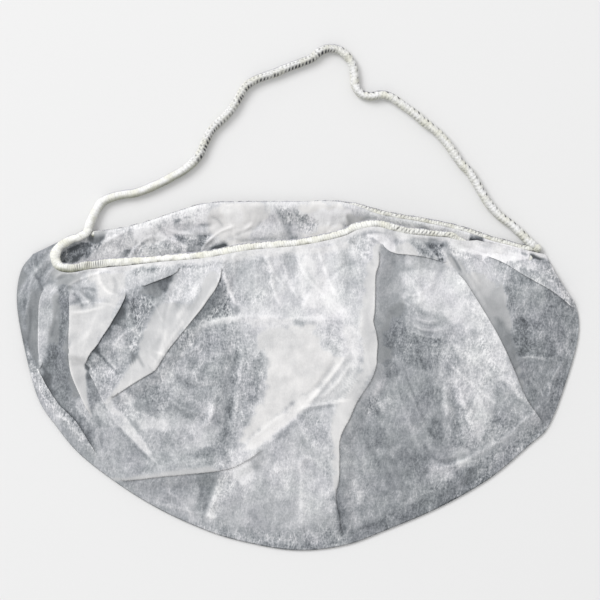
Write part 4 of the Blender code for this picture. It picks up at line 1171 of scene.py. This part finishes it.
    ("rightStreakLight2", 0.69, 1.43, 1.4, 387, -111, 462, -112, 453, -168, 397, -177),
    ("lowDarkA", 0.33, 1.32, 1.6, 534, -386, 614, -386, 629, -448, 558, -462),
    ("lowDarkB", 0.35, 0.78, 1.4, 398, -375, 445, -375, 502, -461, 503, -538, 446, -537, 408, -470),
    ("lowLightA", 0.68, 1.12, 1.6, 257, -355, 309, -365, 356, -441, 309, -455, 257, -407),
    ("lowLightB", 0.8, 0.81, 1.4, 751, -344, 812, -354, 818, -406, 756, -411),
    ("lowLightC", 0.93, 1.11, 1.4, 14, -554, 61, -554, 70, -640, 33, -655),
    ("lowLightD", 0.74, 0.75, 1.6, -541, -576, -475, -585, -461, -671, -518, -686),
    ("farDarkB", 0.34, 1.53, 1.2, 1130, 139, 1198, 148, 1203, 92, 1140, 88),
    ("topRightLight", 0.64, 1.67, 1.6, 952, 538, 1004, 515, 1007, 430, 960, 435),
    ("creamLight", 0.77, 0.18, 2.2, 800, 477, 913, 458, 902, 392, 827, 388),
    ("wedgeShade", 0.35, 1.26, 1, -348, 486, -355, 430, -373, 388, -401, 350, -438, 304, -470, 262,
     -452, 248, -410, 290, -377, 332, -350, 383, -336, 430),
    ("rimDarkRight", 0.27, 1.23, 1.4, 771, -468, 832, -435, 861, -473, 814, -525, 758, -544),
    ("curlPatch", 0.71, 0.79, 1.6, -1054, 421, -998, 435, -941, 421, -930, 364, -976, 313, -1033, 336,
     -1058, 379),
    ("lavenderStripe", 0.31, 1.52, 0.9, -1111, 416, -1082, 421, -1063, 388, -1064, 336, -1076, 271,
     -1085, 205, -1100, 144, -1122, 121, -1109, 215, -1105, 308),
    ("whiteBand", 1.14, 0.86, 0.9, 718, 642, 793, 623, 878, 604, 977, 585, 1086, 571, 1100, 553,
     1024, 543, 953, 545, 882, 557, 811, 576, 750, 594),
    # the next two rows: painted shade and painted shadow under the tack
    ("underTack", 0.55, 1.66, 0.9, 1110, 581, 1167, 567, 1195, 515, 1156, 491, 1123, 529, 1100, 557),
    ("underTackDark", -0.2, 0.15, 0.6, 1101, 579, 1143, 579, 1167, 553, 1143, 543, 1109, 555),
    ("notch", 0.07, 0.58, 0.6, -991, 56, -972, 46, -963, 14, -968, -15, -985, -15, -991, 23),
    ("hemDark", 0.11, 0.52, 0.8, -1188, 45, -1164, 26, -1151, -21, -1142, -68, -1161, -59, -1179, -16,
     -1191, 21),
    ("stripEnd", 0.73, 1.55, 1, -610, 99, -582, 122, -587, 66, -610, 10, -639, -37, -671, -46, -685, -18,
     -647, 29),
    ("leftOfCentre", 0.75, 1.96, 1.6, -321, 183, -275, 201, -237, 178, -247, 122, -284, 104, -317, 136),
    ("besideCentre", 0.9, 0.62, 1.6, 209, 234, 265, 234, 293, 169, 293, 76, 265, 39, 237, 94, 219, 169),
    ("lowRibDark", 0.47, 1.34, 1.4, -472, -351, -416, -332, -360, -327, -332, -350, -351, -393,
     -416, -393, -463, -384),
    ("bottomRightRim", 0.32, 1.41, 1.4, 240, -761, 287, -713, 353, -685, 447, -647, 541, -600, 635, -548,
     719, -491, 776, -444, 842, -445, 843, -511, 744, -573, 626, -639, 494, -700, 372, -747, 259, -789),
    ("bottomRim", 0.38, 2.1, 1.4, -165, -789, -33, -794, 108, -789, 202, -770, 231, -780, 118, -818,
     -10, -827, -137, -818),
    ("footShade", 0.59, 1.05, 1.2, 210, -279, 247, -261, 266, -346, 257, -450, 239, -535, 230, -583,
     202, -573, 197, -516, 210, -430),
    ("besideFoldLight", 0.56, 0.59, 1, 377, 66, 415, 29, 359, -36, 312, -102, 280, -167, 247, -261,
     219, -265, 256, -148, 293, -69, 340, 1),
    ("streakWhite2", 0.85, 0.99, 1, 889, -85, 922, -94, 932, -161, 910, -208, 890, -160),
    ("patchLeft", 0.66, 2.06, 0.8, 534, 636, 600, 637, 614, 603, 641, 561, 673, 528, 613, 552, 566, 580,
     543, 608),
    ("darkPatch", 0.34, 3, 0.7, 609, 632, 652, 637, 685, 627, 675, 599, 684, 571, 697, 538, 669, 547,
     641, 580, 618, 608),
))

insideZones = rowsOf(Zone, (
    # the first two rows: painted shade in the hollow inside the left end of the mouth
    ("oval", 0.29, 2.5, 0.5, -1119, 557, -1101, 586, -1069, 605, -1026, 616, -1021, 590, -1025, 538,
     -1057, 534, -1100, 534),
    ("ovalDark", 0.32, 2.11, 0.5, -1026, 619, -975, 628, -951, 619, -960, 586, -983, 557, -1020, 538),
    ("ovalLight", 0.54, 3, 0.6, -970, 628, -937, 633, -913, 619, -932, 595, -955, 586),
    ("creamCloth", 0.99, 1.58, 1, -937, 647, -871, 666, -805, 652, -767, 619, -794, 581, -869, 548,
     -949, 548, -945, 581, -913, 609),
    ("darkWedge", 0.31, 1, 0.4, -823, 586, -781, 593, -775, 571, -794, 552, -817, 552),
    ("leftSheet", 0.83, 2.41, 1.2, -767, 609, -692, 656, -621, 642, -503, 618, -460, 585, -596, 566,
     -714, 552, -766, 567),
    ("upperLeft", 0.89, 1.59, 1.6, -843, 704, -692, 732, -551, 779, -570, 703, -645, 675, -739, 656,
     -824, 656),
    ("upperMid", 1.12, 1.9, 1.4, -551, 779, -495, 793, -429, 798, -419, 751, -438, 713, -494, 713,
     -542, 727),
    ("sheetLeft", 1.08, 1.23, 1.4, -767, 675, -692, 694, -607, 689, -569, 656, -616, 628, -701, 619,
     -758, 628),
    ("darkNotch", 0.69, 3, 0.7, -574, 661, -475, 647, -484, 604, -531, 623),
    ("darkNotch2", 0.64, 3, 0.5, -461, 651, -414, 656, -451, 604),
    ("rimUpper", 0.95, 1, 0.9, -531, 604, -475, 609, -446, 590, -400, 623, -343, 647, -306, 647,
     -305, 618, -361, 595, -432, 571, -502, 576),
    ("smoothLight", 0.95, 0.19, 2, -419, 751, -339, 807, -184, 812, -137, 769, -165, 675, -268, 637,
     -390, 656),
    ("midLeft2", 1.17, 0.52, 1.4, -353, 788, -269, 793, -240, 751, -268, 713, -334, 722),
    ("greySheet", 0.88, 0.95, 1.4, -193, 694, -127, 732, -75, 656, -117, 627, -230, 632),
    ("creamMid", 1.01, 0.15, 1.4, -334, 637, -193, 637, -164, 609, -305, 599),
    ("rightLight", 1.07, 0.15, 2.2, 14, 807, 221, 798, 230, 731, 201, 655, 70, 637, 14, 675),
    ("midRight", 1.24, 1.2, 1.6, 70, 769, 174, 783, 249, 769, 258, 731, 183, 712, 99, 713),
    ("darkBlot", 0.81, 3, 0.9, -80, 793, -28, 774, -19, 717, -61, 727),
    ("speckleBlot", 0.81, 2.8, 1.6, -14, 779, 52, 750, 99, 713, 70, 675, 5, 694),
    ("rightCloth", 0.79, 0.15, 1.2, 226, 760, 296, 745, 361, 722, 305, 703, 239, 684),
    ("rightGrey", 1.24, 0.15, 1, 408, 703, 531, 693, 671, 665, 742, 637, 624, 637, 483, 665),
    ("rightGap", 1.09, 0.93, 1, 729, 689, 861, 656, 1002, 619, 1106, 590, 1105, 562, 992, 590, 860, 618,
     746, 632),
    ("endShade", 0.25, 0.3, 0.7, -980, 671, -947, 689, -900, 685, -904, 652, -927, 623, -956, 619,
     -984, 633),
))

gathers = {"count": 80, "width": (0.7, 2.6), "reach": (4, 24), "height": (-0.45, 0.6), "lean": 0.3}
wrinkles = {
    "count": 150,
    "length": (7, 38),
    "width": (0.4, 1.0),
    "height": 0.32,
    # white: painted highlight on raised wrinkles and painted shade in sunken ones
    "white": 0.09,
    "lean": 0.6,  # in radians off straight up
    "bend": 0.25,
    "front": (7, (-128, -80), (128, 60)),  # seed and corners of the area
    "inside": (9, (-100, 50), (80, 78)),
    "insideCount": 40,
}

lineReach = 8.0  # how far from its line a fold or crease shows
foldLook = {
    "beyondTuck": 2.6,  # or as many times its tuck, for a fold
    "fadeIn": 0.10,  # shares of the run
    "fadeOut": 0.12,
    "thinnest": 0.4,  # depth in mm under which no cloth turns under
    "farReach": 0.45,  # of the swell beyond the fold
    "clear": 1.5,  # how far a zone is kept off a fold that it ends at
    "edgeWidth": 0.12,
    "shadeReach": 3.2,
}
creaseLook = {"fade": 0.2, "darkReach": 2.0}

tuckShape = (  # share of the cloth, across and height of the turned-under cloth
    (0.00, -2.4, 0.00), (0.14, -1.5, 0.50), (0.28, -0.7, 0.92), (0.38, -0.25, 1.0),
    (0.44, -0.07, 0.96), (0.48, 0.0, 0.80), (0.52, -0.08, 0.60), (0.58, -0.5, 0.45),
    (0.64, -1.05, 0.36), (0.68, -1.12, 0.16), (0.72, -0.9, -0.1), (0.78, -0.2, -0.2),
    (0.84, 0.1, -0.15), (1.00, 1.2, 0.0),
)
tuckTurn = 0.48  # share of the cloth at which it turns under


def nearby(spots, line, margin):
    low, high = line[:, :2].min(axis=0) - margin, line[:, :2].max(axis=0) + margin
    return np.flatnonzero(np.all((spots > low) & (spots < high), axis=1))


def foldCloth(spots, fade):
    # how the folds shift and raise the cloth, the painted highlight and painted shade they add to its
    # tone, and how far from a fold each spot takes its zone, so that a zone ends at the fold
    way, across, height = curveThrough(tuckShape, 6).T
    shift = np.zeros_like(spots)
    push = np.zeros_like(spots)
    lift = np.zeros(len(spots))
    white = np.zeros(len(spots))
    for fold in folds:
        line = curveThrough(fold.run, 5)
        near = nearby(spots, line, max(fold.reach, foldLook["beyondTuck"] * fold.tuck, lineReach))
        away, share, direction = besideLine(spots[near], line)
        under = 1 if fold.flap == "right" else -1
        beyond = away * under
        ends = smooth(share / foldLook["fadeIn"]) * smooth((1 - share) / foldLook["fadeOut"])
        ends = ends * fade[near]
        tuck = np.maximum(fold.tuck * ends, 0.02)
        turned = (beyond > across[0] * tuck) & (beyond < across[-1] * tuck)
        at = np.clip((beyond / tuck - across[0]) / (across[-1] - across[0]), 0, 1)
        place = np.where(turned, np.interp(at, way, across) * tuck, beyond)
        onTop = np.where(turned, at < tuckTurn, beyond < 0)
        sure = smooth(tuck - foldLook["thinnest"])
        shift[near] += ((place - beyond) * under * sure)[:, None] * direction
        lift[near] += np.where(turned, np.interp(at, way, height) * fold.lift, 0) * sure
        wide = np.where(place < 0, fold.reach, foldLook["farReach"] * fold.reach)
        lift[near] += fold.rise * ends * smooth(1 - np.abs(place) / wide)
        clear = foldLook["clear"] * np.exp(-np.abs(place) / foldLook["clear"]) * ends
        clear = clear * np.where(onTop, -1, 1) * under
        push[near] += clear[:, None] * direction
        # painted highlight on the turn, and painted shade on the cloth beyond the fold
        edge = fold.edge * np.exp(-(((at - tuckTurn) / foldLook["edgeWidth"]) ** 2)) * turned
        beyondShade = fold.shade * np.exp(-np.maximum(place, 0) / foldLook["shadeReach"])
        shade = np.where(onTop, 0, beyondShade)
        white[near] += ends * (edge - shade)
    return shift, push, lift, white


def creaseCloth(spots, lines):
    lift = np.zeros(len(spots))
    white = np.zeros(len(spots))
    for crease in lines:
        line = curveThrough(crease.run, 5)
        near = nearby(spots, line, lineReach)
        away, share, _ = besideLine(spots[near], line)
        ends = smooth(share / creaseLook["fade"]) * smooth((1 - share) / creaseLook["fade"])
        ridge = np.exp(-((away / crease.width) ** 2)) * ends
        lift[near] += crease.height * ridge
        beside = np.exp(-np.abs(away) / creaseLook["darkReach"]) * ends
        # painted highlight on the ridge, painted shade in a sunken crease, and painted shade beside it
        white[near] += crease.white * ridge - crease.dark * beside
    return lift, white


def randomWrinkles(seed, low, high):
    # small creases in all places, mostly up and down
    chance = np.random.RandomState(seed)
    lines = []
    for number in range(wrinkles["count"]):
        x, y = chance.uniform(low, high)
        heading = chance.normal(math.pi / 2, wrinkles["lean"])
        length = chance.uniform(*wrinkles["length"])
        run = []
        for step in np.linspace(-0.5, 0.5, 4):
            run.append((x + math.cos(heading) * length * step, y + math.sin(heading) * length * step))
            heading += chance.normal(0, wrinkles["bend"])
        size = chance.uniform(-1, 1)
        width = chance.uniform(*wrinkles["width"])
        height, white = wrinkles["height"] * size, wrinkles["white"] * size
        lines.append(Crease(f"wrinkle{number}", height, width, white, 0.0, tuple(run)))
    return lines


def gatherCloth(across, depth):
    # ridges that run down from the rim, across and down in mm
    chance = np.random.RandomState(4)
    lift = np.zeros(across.shape)
    for _ in range(gathers["count"]):
        start = chance.uniform(across.min(), across.max())
        lean = chance.normal(0, gathers["lean"])
        width = chance.uniform(*gathers["width"])
        reach = chance.uniform(*gathers["reach"])
        height = chance.uniform(*gathers["height"])
        away = across - start - lean * depth
        lift += height * np.exp(-((away / width) ** 2) - (depth / reach) ** 2)
    return lift


def paintZones(spots, zones, tone, speckle):
    for zone in zones:
        outline = np.array(zone.outline)
        near = nearby(spots, outline, 2 * zone.soft + 1)
        around = curveThrough(np.vstack([outline[-1:], outline, outline[:2]]), 4)[4:-4]
        x, y = spots[near].T
        inside = np.zeros(len(near), bool)
        for a, b in zip(around, np.roll(around, -1, axis=0)):
            if a[1] != b[1]:
                crossing = a[0] + (y - a[1]) * (b[0] - a[0]) / (b[1] - a[1])
                inside ^= ((a[1] > y) != (b[1] > y)) & (x < crossing)
        away, _, _ = besideLine(spots[near], around)
        depth = np.where(inside, np.abs(away), -np.abs(away))
        depth += 0.8 * zone.soft * cloudNoise(x, y, 2.5, 31)
        share = smooth(0.5 + depth / (2 * zone.soft))
        tone[near] = mix(tone[near], zone.tone, share)
        speckle[near] = mix(speckle[near], zone.speckle, share)


def carriedHeight(height, x, y, shift):
    # how much the height changes when each spot of the panel moves by its shift, worked out on
    # cells of 1 mm
    low = np.array([x.min(), y.min()]) - 3
    wide, tall = (int(v) + 8 for v in (np.ptp(x), np.ptp(y)))
    across, up = (x - low[0]).ravel(), (y - low[1]).ravel()
    number = np.rint(across).astype(int) * tall + np.rint(up).astype(int)
    count = np.bincount(number, minlength=wide * tall).reshape(wide, tall).astype(float)
    total = np.bincount(number, height.ravel(), wide * tall).reshape(wide, tall)
    for _ in range(3):
        for sums in (count, total):
            around = sum(np.roll(sums, step, side) for step in (-1, 1) for side in (0, 1))
            sums[:] = around + 4 * sums
    raster = total / np.maximum(count, 1e-9)

    def sample(u, v):
        i, j = np.floor(u).astype(int), np.floor(v).astype(int)
        lowSide = mix(raster[i, j], raster[i + 1, j], u - i)
        return mix(lowSide, mix(raster[i, j + 1], raster[i + 1, j + 1], u - i), v - j)

    return sample(across + shift[:, 0], up + shift[:, 1]) - sample(across, up)


def relaxed(places):
    # the grid of places with its sharpest bends eased, its borders kept
    around = places[:-2, 1:-1] + places[2:, 1:-1] + places[1:-1, :-2] + places[1:-1, 2:]
    places[1:-1, 1:-1] = places[1:-1, 1:-1] / 2 + around / 8
    return places


def edgeOnRim(line, rim, side):
    # where the cloth's cut edge lies on a rim, off its middle towards the pouch
    off = valueAt(lengthsAlong(line), rim["cover"])
    edge = line.copy()
    edge[:, :2] += side * leftOf(line) * off[:, None]
    edge[:, 2] += np.sqrt(np.maximum((rim["radius"] + cloth["rimAir"]) ** 2 - off**2, 0.3))
    return edge


def cutEdges(front, back):
    # the sheet's cut edge on the rims, for the front panel and the back panel
    turn = np.argmin(np.hypot(*(front[:, :2] - frontRim["clothTurn"]).T))
    under = np.argmin(np.hypot(*(front[:, :2] - frontRim["clothUnderEnd"]).T))
    corner = np.array([*cloth["rightCorner"], cloth["creaseHeight"]])
    frontEdge = edgeOnRim(front, frontRim, 1)
    frontEdge = np.vstack([corner, frontEdge[: turn + 1]])
    for end in (frontEdge[0].copy(), frontEdge[-1].copy()):
        rise = smooth(np.hypot(*(frontEdge[:, :2] - end[:2]).T) / cloth["edgeLanding"])
        frontEdge[:, 2] = mix(cloth["creaseHeight"], frontEdge[:, 2], rise)
    passed = np.linspace(0, 1, under - turn + 1)[1:-1, None]
    underPass = front[turn + 1 : under].copy()
    underPass[:, :2] += leftOf(front)[turn + 1 : under] * cloth["rimInset"] * (1 - smooth(passed))
    underPass[:, 2] = cloth["creaseHeight"]
    backEdge = edgeOnRim(back, backRim, -1)
    nearEnd = np.minimum(lengthsAlong(back), lengthsAlong(back[::-1])[::-1])
    landed = smooth(nearEnd / cloth["edgeLanding"])
    backEdge[:, 2] = mix(cloth["creaseHeight"], backEdge[:, 2], landed)
    backEdge = np.vstack([frontEdge[-1], underPass, backEdge, corner])
    return frontEdge, backEdge[::-1]


def overRim(spots, line, radius, fall=0.0):
    # height of cloth that lies on a rim and comes down on its right over the fall, else 0
    near = nearby(spots, line, radius + fall)
    away, share, _ = besideLine(spots[near], line)
    at = lengthsAlong(line, 2)
    middle = np.interp(share, at / at[-1], line[:, 2])
    top = middle + np.sqrt(np.maximum(radius**2 - away**2, 0))
    ends = smooth((1 - share) / 0.03) * smooth(share / 0.01)
    height = np.zeros(len(spots))
    height[near] = np.where(np.abs(away) < radius, top * ends, 0)
    if fall:
        slope = (middle + radius) * ends * smooth(1 + away / fall) ** 1.4
        height[near] = np.maximum(height[near], np.where(away < 0, slope, 0))
    return height


def hillsOf(spots, table):
    return [height * cloudNoise(*spots, size, seed) for height, size, seed in table]


def stretch(row, full, end):
    return smooth(row / full) * smooth(1 - row / end)


def frontPanel(starts, ends, front):
    columns, rows = cloth["columns"], cloth["frontRows"]
    across = np.linspace(0, 1, columns + 1)[None, :]
    row = np.linspace(0, 1, rows + 1)[:, None]
    x = mix(starts[None, :, 0], ends[None, :, 0], row)
    y = mix(starts[None, :, 1], ends[None, :, 1], row)
    fullness = np.sin(math.pi * across) ** cloth["fullnessPower"]
    crest = mix(cloth["creaseHeight"], cloth["loft"], fullness)
    rising = mix(starts[None, :, 2], crest, smooth(row / cloth["crestRow"]))
    fall = np.clip((row - cloth["crestRow"]) / (1 - cloth["crestRow"]), 0, 1)
    falling = mix(crest, cloth["creaseHeight"], fall ** cloth["fallPower"])
    height = np.where(row < cloth["crestRow"], rising, falling)

    spots = np.column_stack([x.ravel(), y.ravel()])
    fade = smooth(row / cloth["mouthFade"]) * smooth((1 - row) / cloth["bottomFade"])
    fade = fade * smooth(across / cloth["endFade"]) * smooth((1 - across) / cloth["endFade"])
    fade = fade.ravel()
    shift, push, lift, white = foldCloth(spots, fade)
    small = randomWrinkles(*wrinkles["front"])
    ridge, streak = creaseCloth(spots + shift, creases + tuple(small))
    full = (fullness * np.ones_like(row)).ravel()
    broad, middle, fine = hillsOf(spots.T, cloth["hills"])
    wrinkle = broad + np.abs(middle) + np.abs(fine)
    swing = cloudNoise(across * 60, across * 0, 7, 11) * cloth["waveSwing"]
    wave = np.sin(2 * math.pi * (cloth["waves"] * across + swing)) * stretch(row, *cloth["waveRows"])
    edgeLength = lengthsAlong(starts)[-1]
    down = np.hypot(x - x[0], y - y[0])
    gather = gatherCloth(across * edgeLength + 0 * row, down) * smooth(row / 0.02)
    sink = cloth["foldSink"] * cloth["loft"] * full
    waved = (cloth["waveHeight"] * wave + gather).ravel() * full
    height = height.ravel() + (wrinkle - sink) * fade + waved
    height += carriedHeight(height, x, y, shift) + (lift + ridge) * fade
    height = np.maximum(height, cloth["creaseHeight"] * 0.9)
    spots = spots + shift
    stop = np.argmin(np.hypot(*(front[:, :2] - frontRim["clothOverEnd"]).T))
    onRim = overRim(spots, front[: stop + 1], frontRim["radius"] + cloth["rimAir"])
    height = np.maximum(height, onRim)

    tone = np.full(len(spots), cloth["tone"])
    speckle = np.ones(len(spots))
    paintZones(spots + push, frontZones, tone, speckle)
    uneven = cloth["seamUneven"] * cloudNoise(x, y, 5, 12).ravel()
    seam = smooth((cloth["seamBand"] + uneven - down.ravel()) / cloth["seamFade"])
    atRight = smooth((across + 0 * row - cloth["rightEnd"]) / 0.06).ravel()
    seam *= mix(1.0, cloth["seamAtRight"], atRight)
    # white and streak add the painted highlights and painted shade of the folds and creases
    tone = mix(tone, cloth["seamTone"], seam) + white + streak
    # painted highlight on raised gathers and waves, painted shade in their hollows
    ridgeShading = (cloth["gatherShading"] * gather + cloth["waveShading"] * wave).ravel()
    tone += ridgeShading * (1 - 0.6 * seam)
    speckle = mix(speckle, cloth["seamSpeckle"], seam)
    places = np.column_stack([spots, height]).reshape(*x.shape, 3)
    places[0] = starts
    places[-1] = ends
    return relaxed(places), tone.reshape(x.shape), speckle.reshape(x.shape)


def backPanel(starts, ends, back):
    rows = cloth["backRows"]
    shown, share = cloth["visibleBackRows"], cloth["visibleBackShare"]
    row = np.interp(np.arange(rows + 1), (0, shown, rows), (0, share, 1))[:, None]
    places = mix(starts[None], ends[None], row[..., None])
    x, y = places[..., 0], places[..., 1]
    spots = np.column_stack([x.ravel(), y.ravel()])
    small = randomWrinkles(*wrinkles["inside"])[: wrinkles["insideCount"]]
    ridge, streak = creaseCloth(spots, insideCreases + tuple(small))
    ridge = ridge.reshape(x.shape)
    inside = stretch(row, *cloth["insideWrinkled"])
    broad, fine = hillsOf((x, y), cloth["insideHills"])
    wrinkle = np.abs(broad) + np.abs(fine)
    air = cloth["insideAir"]
    lying = cloth["backHeight"] + inside * (air + wrinkle + np.maximum(ridge, -air))
    lying = mix(lying, starts[None, :, 2], smooth(1 - row / cloth["backEdge"]))
    rise = smooth(1 - (1 - row) / cloth["backRise"])
    onRim = overRim(spots, back, backRim["radius"] + cloth["rimAir"], cloth["backFall"])
    onRim = onRim.reshape(x.shape)
    bumps = inside * (0.5 * wrinkle + 0.3 * ridge)
    places[..., 2] = mix(np.maximum(lying, onRim + bumps * (onRim > 0)), cloth["creaseHeight"], rise)
    tone = np.full(len(spots), cloth["insideTone"])
    speckle = np.ones(len(spots))
    paintZones(spots, insideZones, tone, speckle)
    tone = (tone + streak).reshape(x.shape)
    down = np.hypot(x - x[0], y - y[0])
    seam = smooth((cloth["seamBand"] - down) / cloth["seamFade"])
    tone = mix(tone, cloth["seamTone"], 0.5 * seam)
    # painted shade under the front panel
    tone = mix(tone, cloth["hiddenTone"], smooth((down - cloth["hiddenFrom"]) / 4))
    places[0] = starts
    places[-1] = ends
    return places, tone, speckle.reshape(x.shape)


def addCloth(front, back, finish):
    frontEdge, backEdge = cutEdges(front, back)
    columns = cloth["columns"]
    fold = curveThrough([(x, y, cloth["creaseHeight"]) for x, y in cloth["bottomFold"]])
    crease = spaced(fold, columns)
    frontPlaces, frontTone, frontSpeckle = frontPanel(spaced(frontEdge, columns), crease, front)
    backPlaces, backTone, backSpeckle = backPanel(spaced(backEdge, columns), crease, back)
    places = np.vstack([frontPlaces.reshape(-1, 3), backPlaces[:-1].reshape(-1, 3)])
    wide = columns + 1
    frontCount = frontPlaces.shape[0] * wide
    creaseStart = frontCount - wide

    def numbers(rows, start, last):
        grid = start + np.arange(rows)[:, None] * wide + np.arange(wide)[None, :]
        return np.vstack([grid, last[None, :]])

    creaseNumbers = creaseStart + np.arange(wide)
    frontGrid = numbers(cloth["frontRows"], 0, creaseNumbers)
    backGrid = numbers(cloth["backRows"], frontCount, creaseNumbers)
    faces = []
    for grid, flip in ((frontGrid, True), (backGrid, False)):
        corners = np.stack([grid[:-1, :-1], grid[:-1, 1:], grid[1:, 1:], grid[1:, :-1]], -1)
        corners = corners.reshape(-1, 4)
        faces += (corners[:, ::-1] if flip else corners).tolist()
    sheet = addMesh("pouch_cloth", places, faces)
    # whiteness of the cloth together with its painted highlights and painted shade
    keep(sheet, "whiteness", np.concatenate([frontTone.ravel(), backTone[:-1].ravel()]))
    keep(sheet, "speckle", np.concatenate([frontSpeckle.ravel(), backSpeckle[:-1].ravel()]))
    keepVector(sheet, "flat", np.column_stack([places[:, :2], places[:, 2] * 0]) * mm)
    sheet.data.materials.append(finish)
    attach(sheet, "root")
    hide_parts("pouch")
    print("cloth:", len(sheet.data.polygons), "faces")


clothLook = {
    "roughness": 0.85,
    "sheen": 0.05,
    "stops": (  # from the thinnest cloth, darkened by the painted shade of the hollow under it, to many layers
        (0.0, (0.0806, 0.088, 0.0963)),
        (0.2, (0.1735, 0.186, 0.201)),
        (0.4, (0.320, 0.334, 0.3515)),
        (0.6, (0.522, 0.528, 0.545)),
        (0.8, (0.782, 0.776, 0.785)),
        (1.0, (0.92, 0.915, 0.92)),
    ),
    "whitest": 1.25,  # tone of the last stop
    "cloudSize": 0.012,
    "cloud": 0.22,
    "patchSize": 0.0065,
    "patch": 0.34,
    "mottleSize": 0.0036,
    "mottle": 0.66,
    "drawn": 0.6,  # how the mottle is drawn out up and down
    "grainSize": 0.0011,
    "grain": 0.46,
    "fibre": 0.15,
    "fibreWidth": 0.0005,
    "fibreLength": 0.006,
    "fibreAngles": (1.40, 1.78, 1.05),
    "fibreShift": (0.13, 0.07),  # between the three layers of fibres
    "fibreLevel": 0.58,  # of the noise above which a fibre shows
    "fibreSharpness": 6.0,
    "fibreRelief": 0.6,
    "mostSpeckled": 1.6,  # above this speckle the patches grow no stronger
    "doubleBelow": 0.8,  # speckle under which the cloth lies smooth and double
    "warm": (1.006, 1.0, 0.982),  # its tint there
    "cool": (1.0, 0.995, 1.01),
    "green": (0.99, 1.003, 0.995),
    "tintSize": 0.016,
    "bump": 0.00012,
    "bumpStrength": 0.5,
}


def clothFinish():
    look = clothLook
    finish = Finish("spunbond_cloth", look["roughness"], look["sheen"])
    flat = finish.read("flat", "Vector")
    cloud = finish.noise(flat, look["cloudSize"], detail=2.0)
    patch = finish.noise(flat, look["patchSize"], detail=1.0)
    drawn = finish.scaled(flat, (1.0, look["drawn"], 1.0))
    mottle = finish.noise(drawn, look["mottleSize"], detail=4.0, roughness=0.8)
    grain = finish.noise(flat, look["grainSize"], detail=2.0, roughness=0.6)
    scale = (1 / look["fibreLength"], 1 / look["fibreWidth"], 1.0)
    right, up = look["fibreShift"]
    fibres = None
    for number, angle in enumerate(look["fibreAngles"]):
        values = {
            "Vector": flat,
            "Location": (right * number, up * number, 0.0),
            "Rotation": (0.0, 0.0, -angle),
        }
        turned = finish.node("Mapping", {"vector_type": "POINT"}, values)
        streak = finish.noise(finish.scaled(turned, scale), 1.0, detail=1.0)
        strand = ((streak - look["fibreLevel"]) * look["fibreSharpness"]).limited()
        fibres = fibres.most(strand) if fibres else strand
    rough = (mottle - 0.5) * look["mottle"] + (grain - 0.5) * look["grain"]
    rough = rough + (fibres - 0.2) * look["fibre"]
    speckle = finish.read("speckle")
    patchy = 0.35 + 0.65 * speckle.least(look["mostSpeckled"])
    broad = (cloud - 0.5) * look["cloud"] + (patch - 0.5) * look["patch"] * patchy
    tone = finish.read("whiteness") + broad + rough * speckle
    colour = finish.node("ValToRGB", {"stops": look["stops"]}, {"Fac": tone / look["whitest"]}, "Color")
    drift = finish.noise(flat, look["tintSize"], detail=2.0)
    hue = ((drift - 0.5) * 3 + 0.5).limited()
    thin = finish.colourBetween(hue, look["cool"], look["green"])
    double = ((look["doubleBelow"] - speckle) * 2.2).limited()
    tint = finish.colourBetween(double, thin, look["warm"])
    colour = finish.scaled(colour, tint)
    relief = mottle + fibres * look["fibreRelief"]
    normal = finish.bump(relief, look["bump"], look["bumpStrength"])
    return finish.paint(Base_Color=colour, Normal=normal)


# Table and light


def addStage():
    bpy.ops.mesh.primitive_plane_add(size=light["tableSize"])
    table = bpy.context.object
    table.name = "table_top"
    finish = Finish("pale_table", light["tableRoughness"])
    table.data.materials.append(finish.paint(Base_Color=light["tableColour"]))

    lamp = bpy.data.lights.new("soft_box", "AREA")
    lamp.size = light["size"]
    lamp.energy = light["watts"]
    holder = bpy.data.objects.new("soft_box", lamp)
    holder.location = light["place"]
    holder.rotation_euler = (-Vector(light["place"])).to_track_quat("-Z", "Y").to_euler()
    bpy.context.scene.collection.objects.link(holder)

    world = bpy.data.worlds.new("studio")
    world.use_nodes = True
    world.node_tree.nodes["Background"].inputs["Color"].default_value = (1, 1, 1, 1)
    world.node_tree.nodes["Background"].inputs["Strength"].default_value = light["fill"]
    bpy.context.scene.world = world
    bpy.context.scene.view_settings.view_transform = "Standard"
    print("table and light")


addCamera()
addHeadLoop(yarnFinish("knitted_cord", yarnLook["cord"]))
rimFinish = yarnFinish("overlock_thread", yarnLook["rim"])
frontLine, backLine = addRims(rimFinish)
addTack(rimFinish)
addCloth(frontLine, backLine, clothFinish())
addStage()
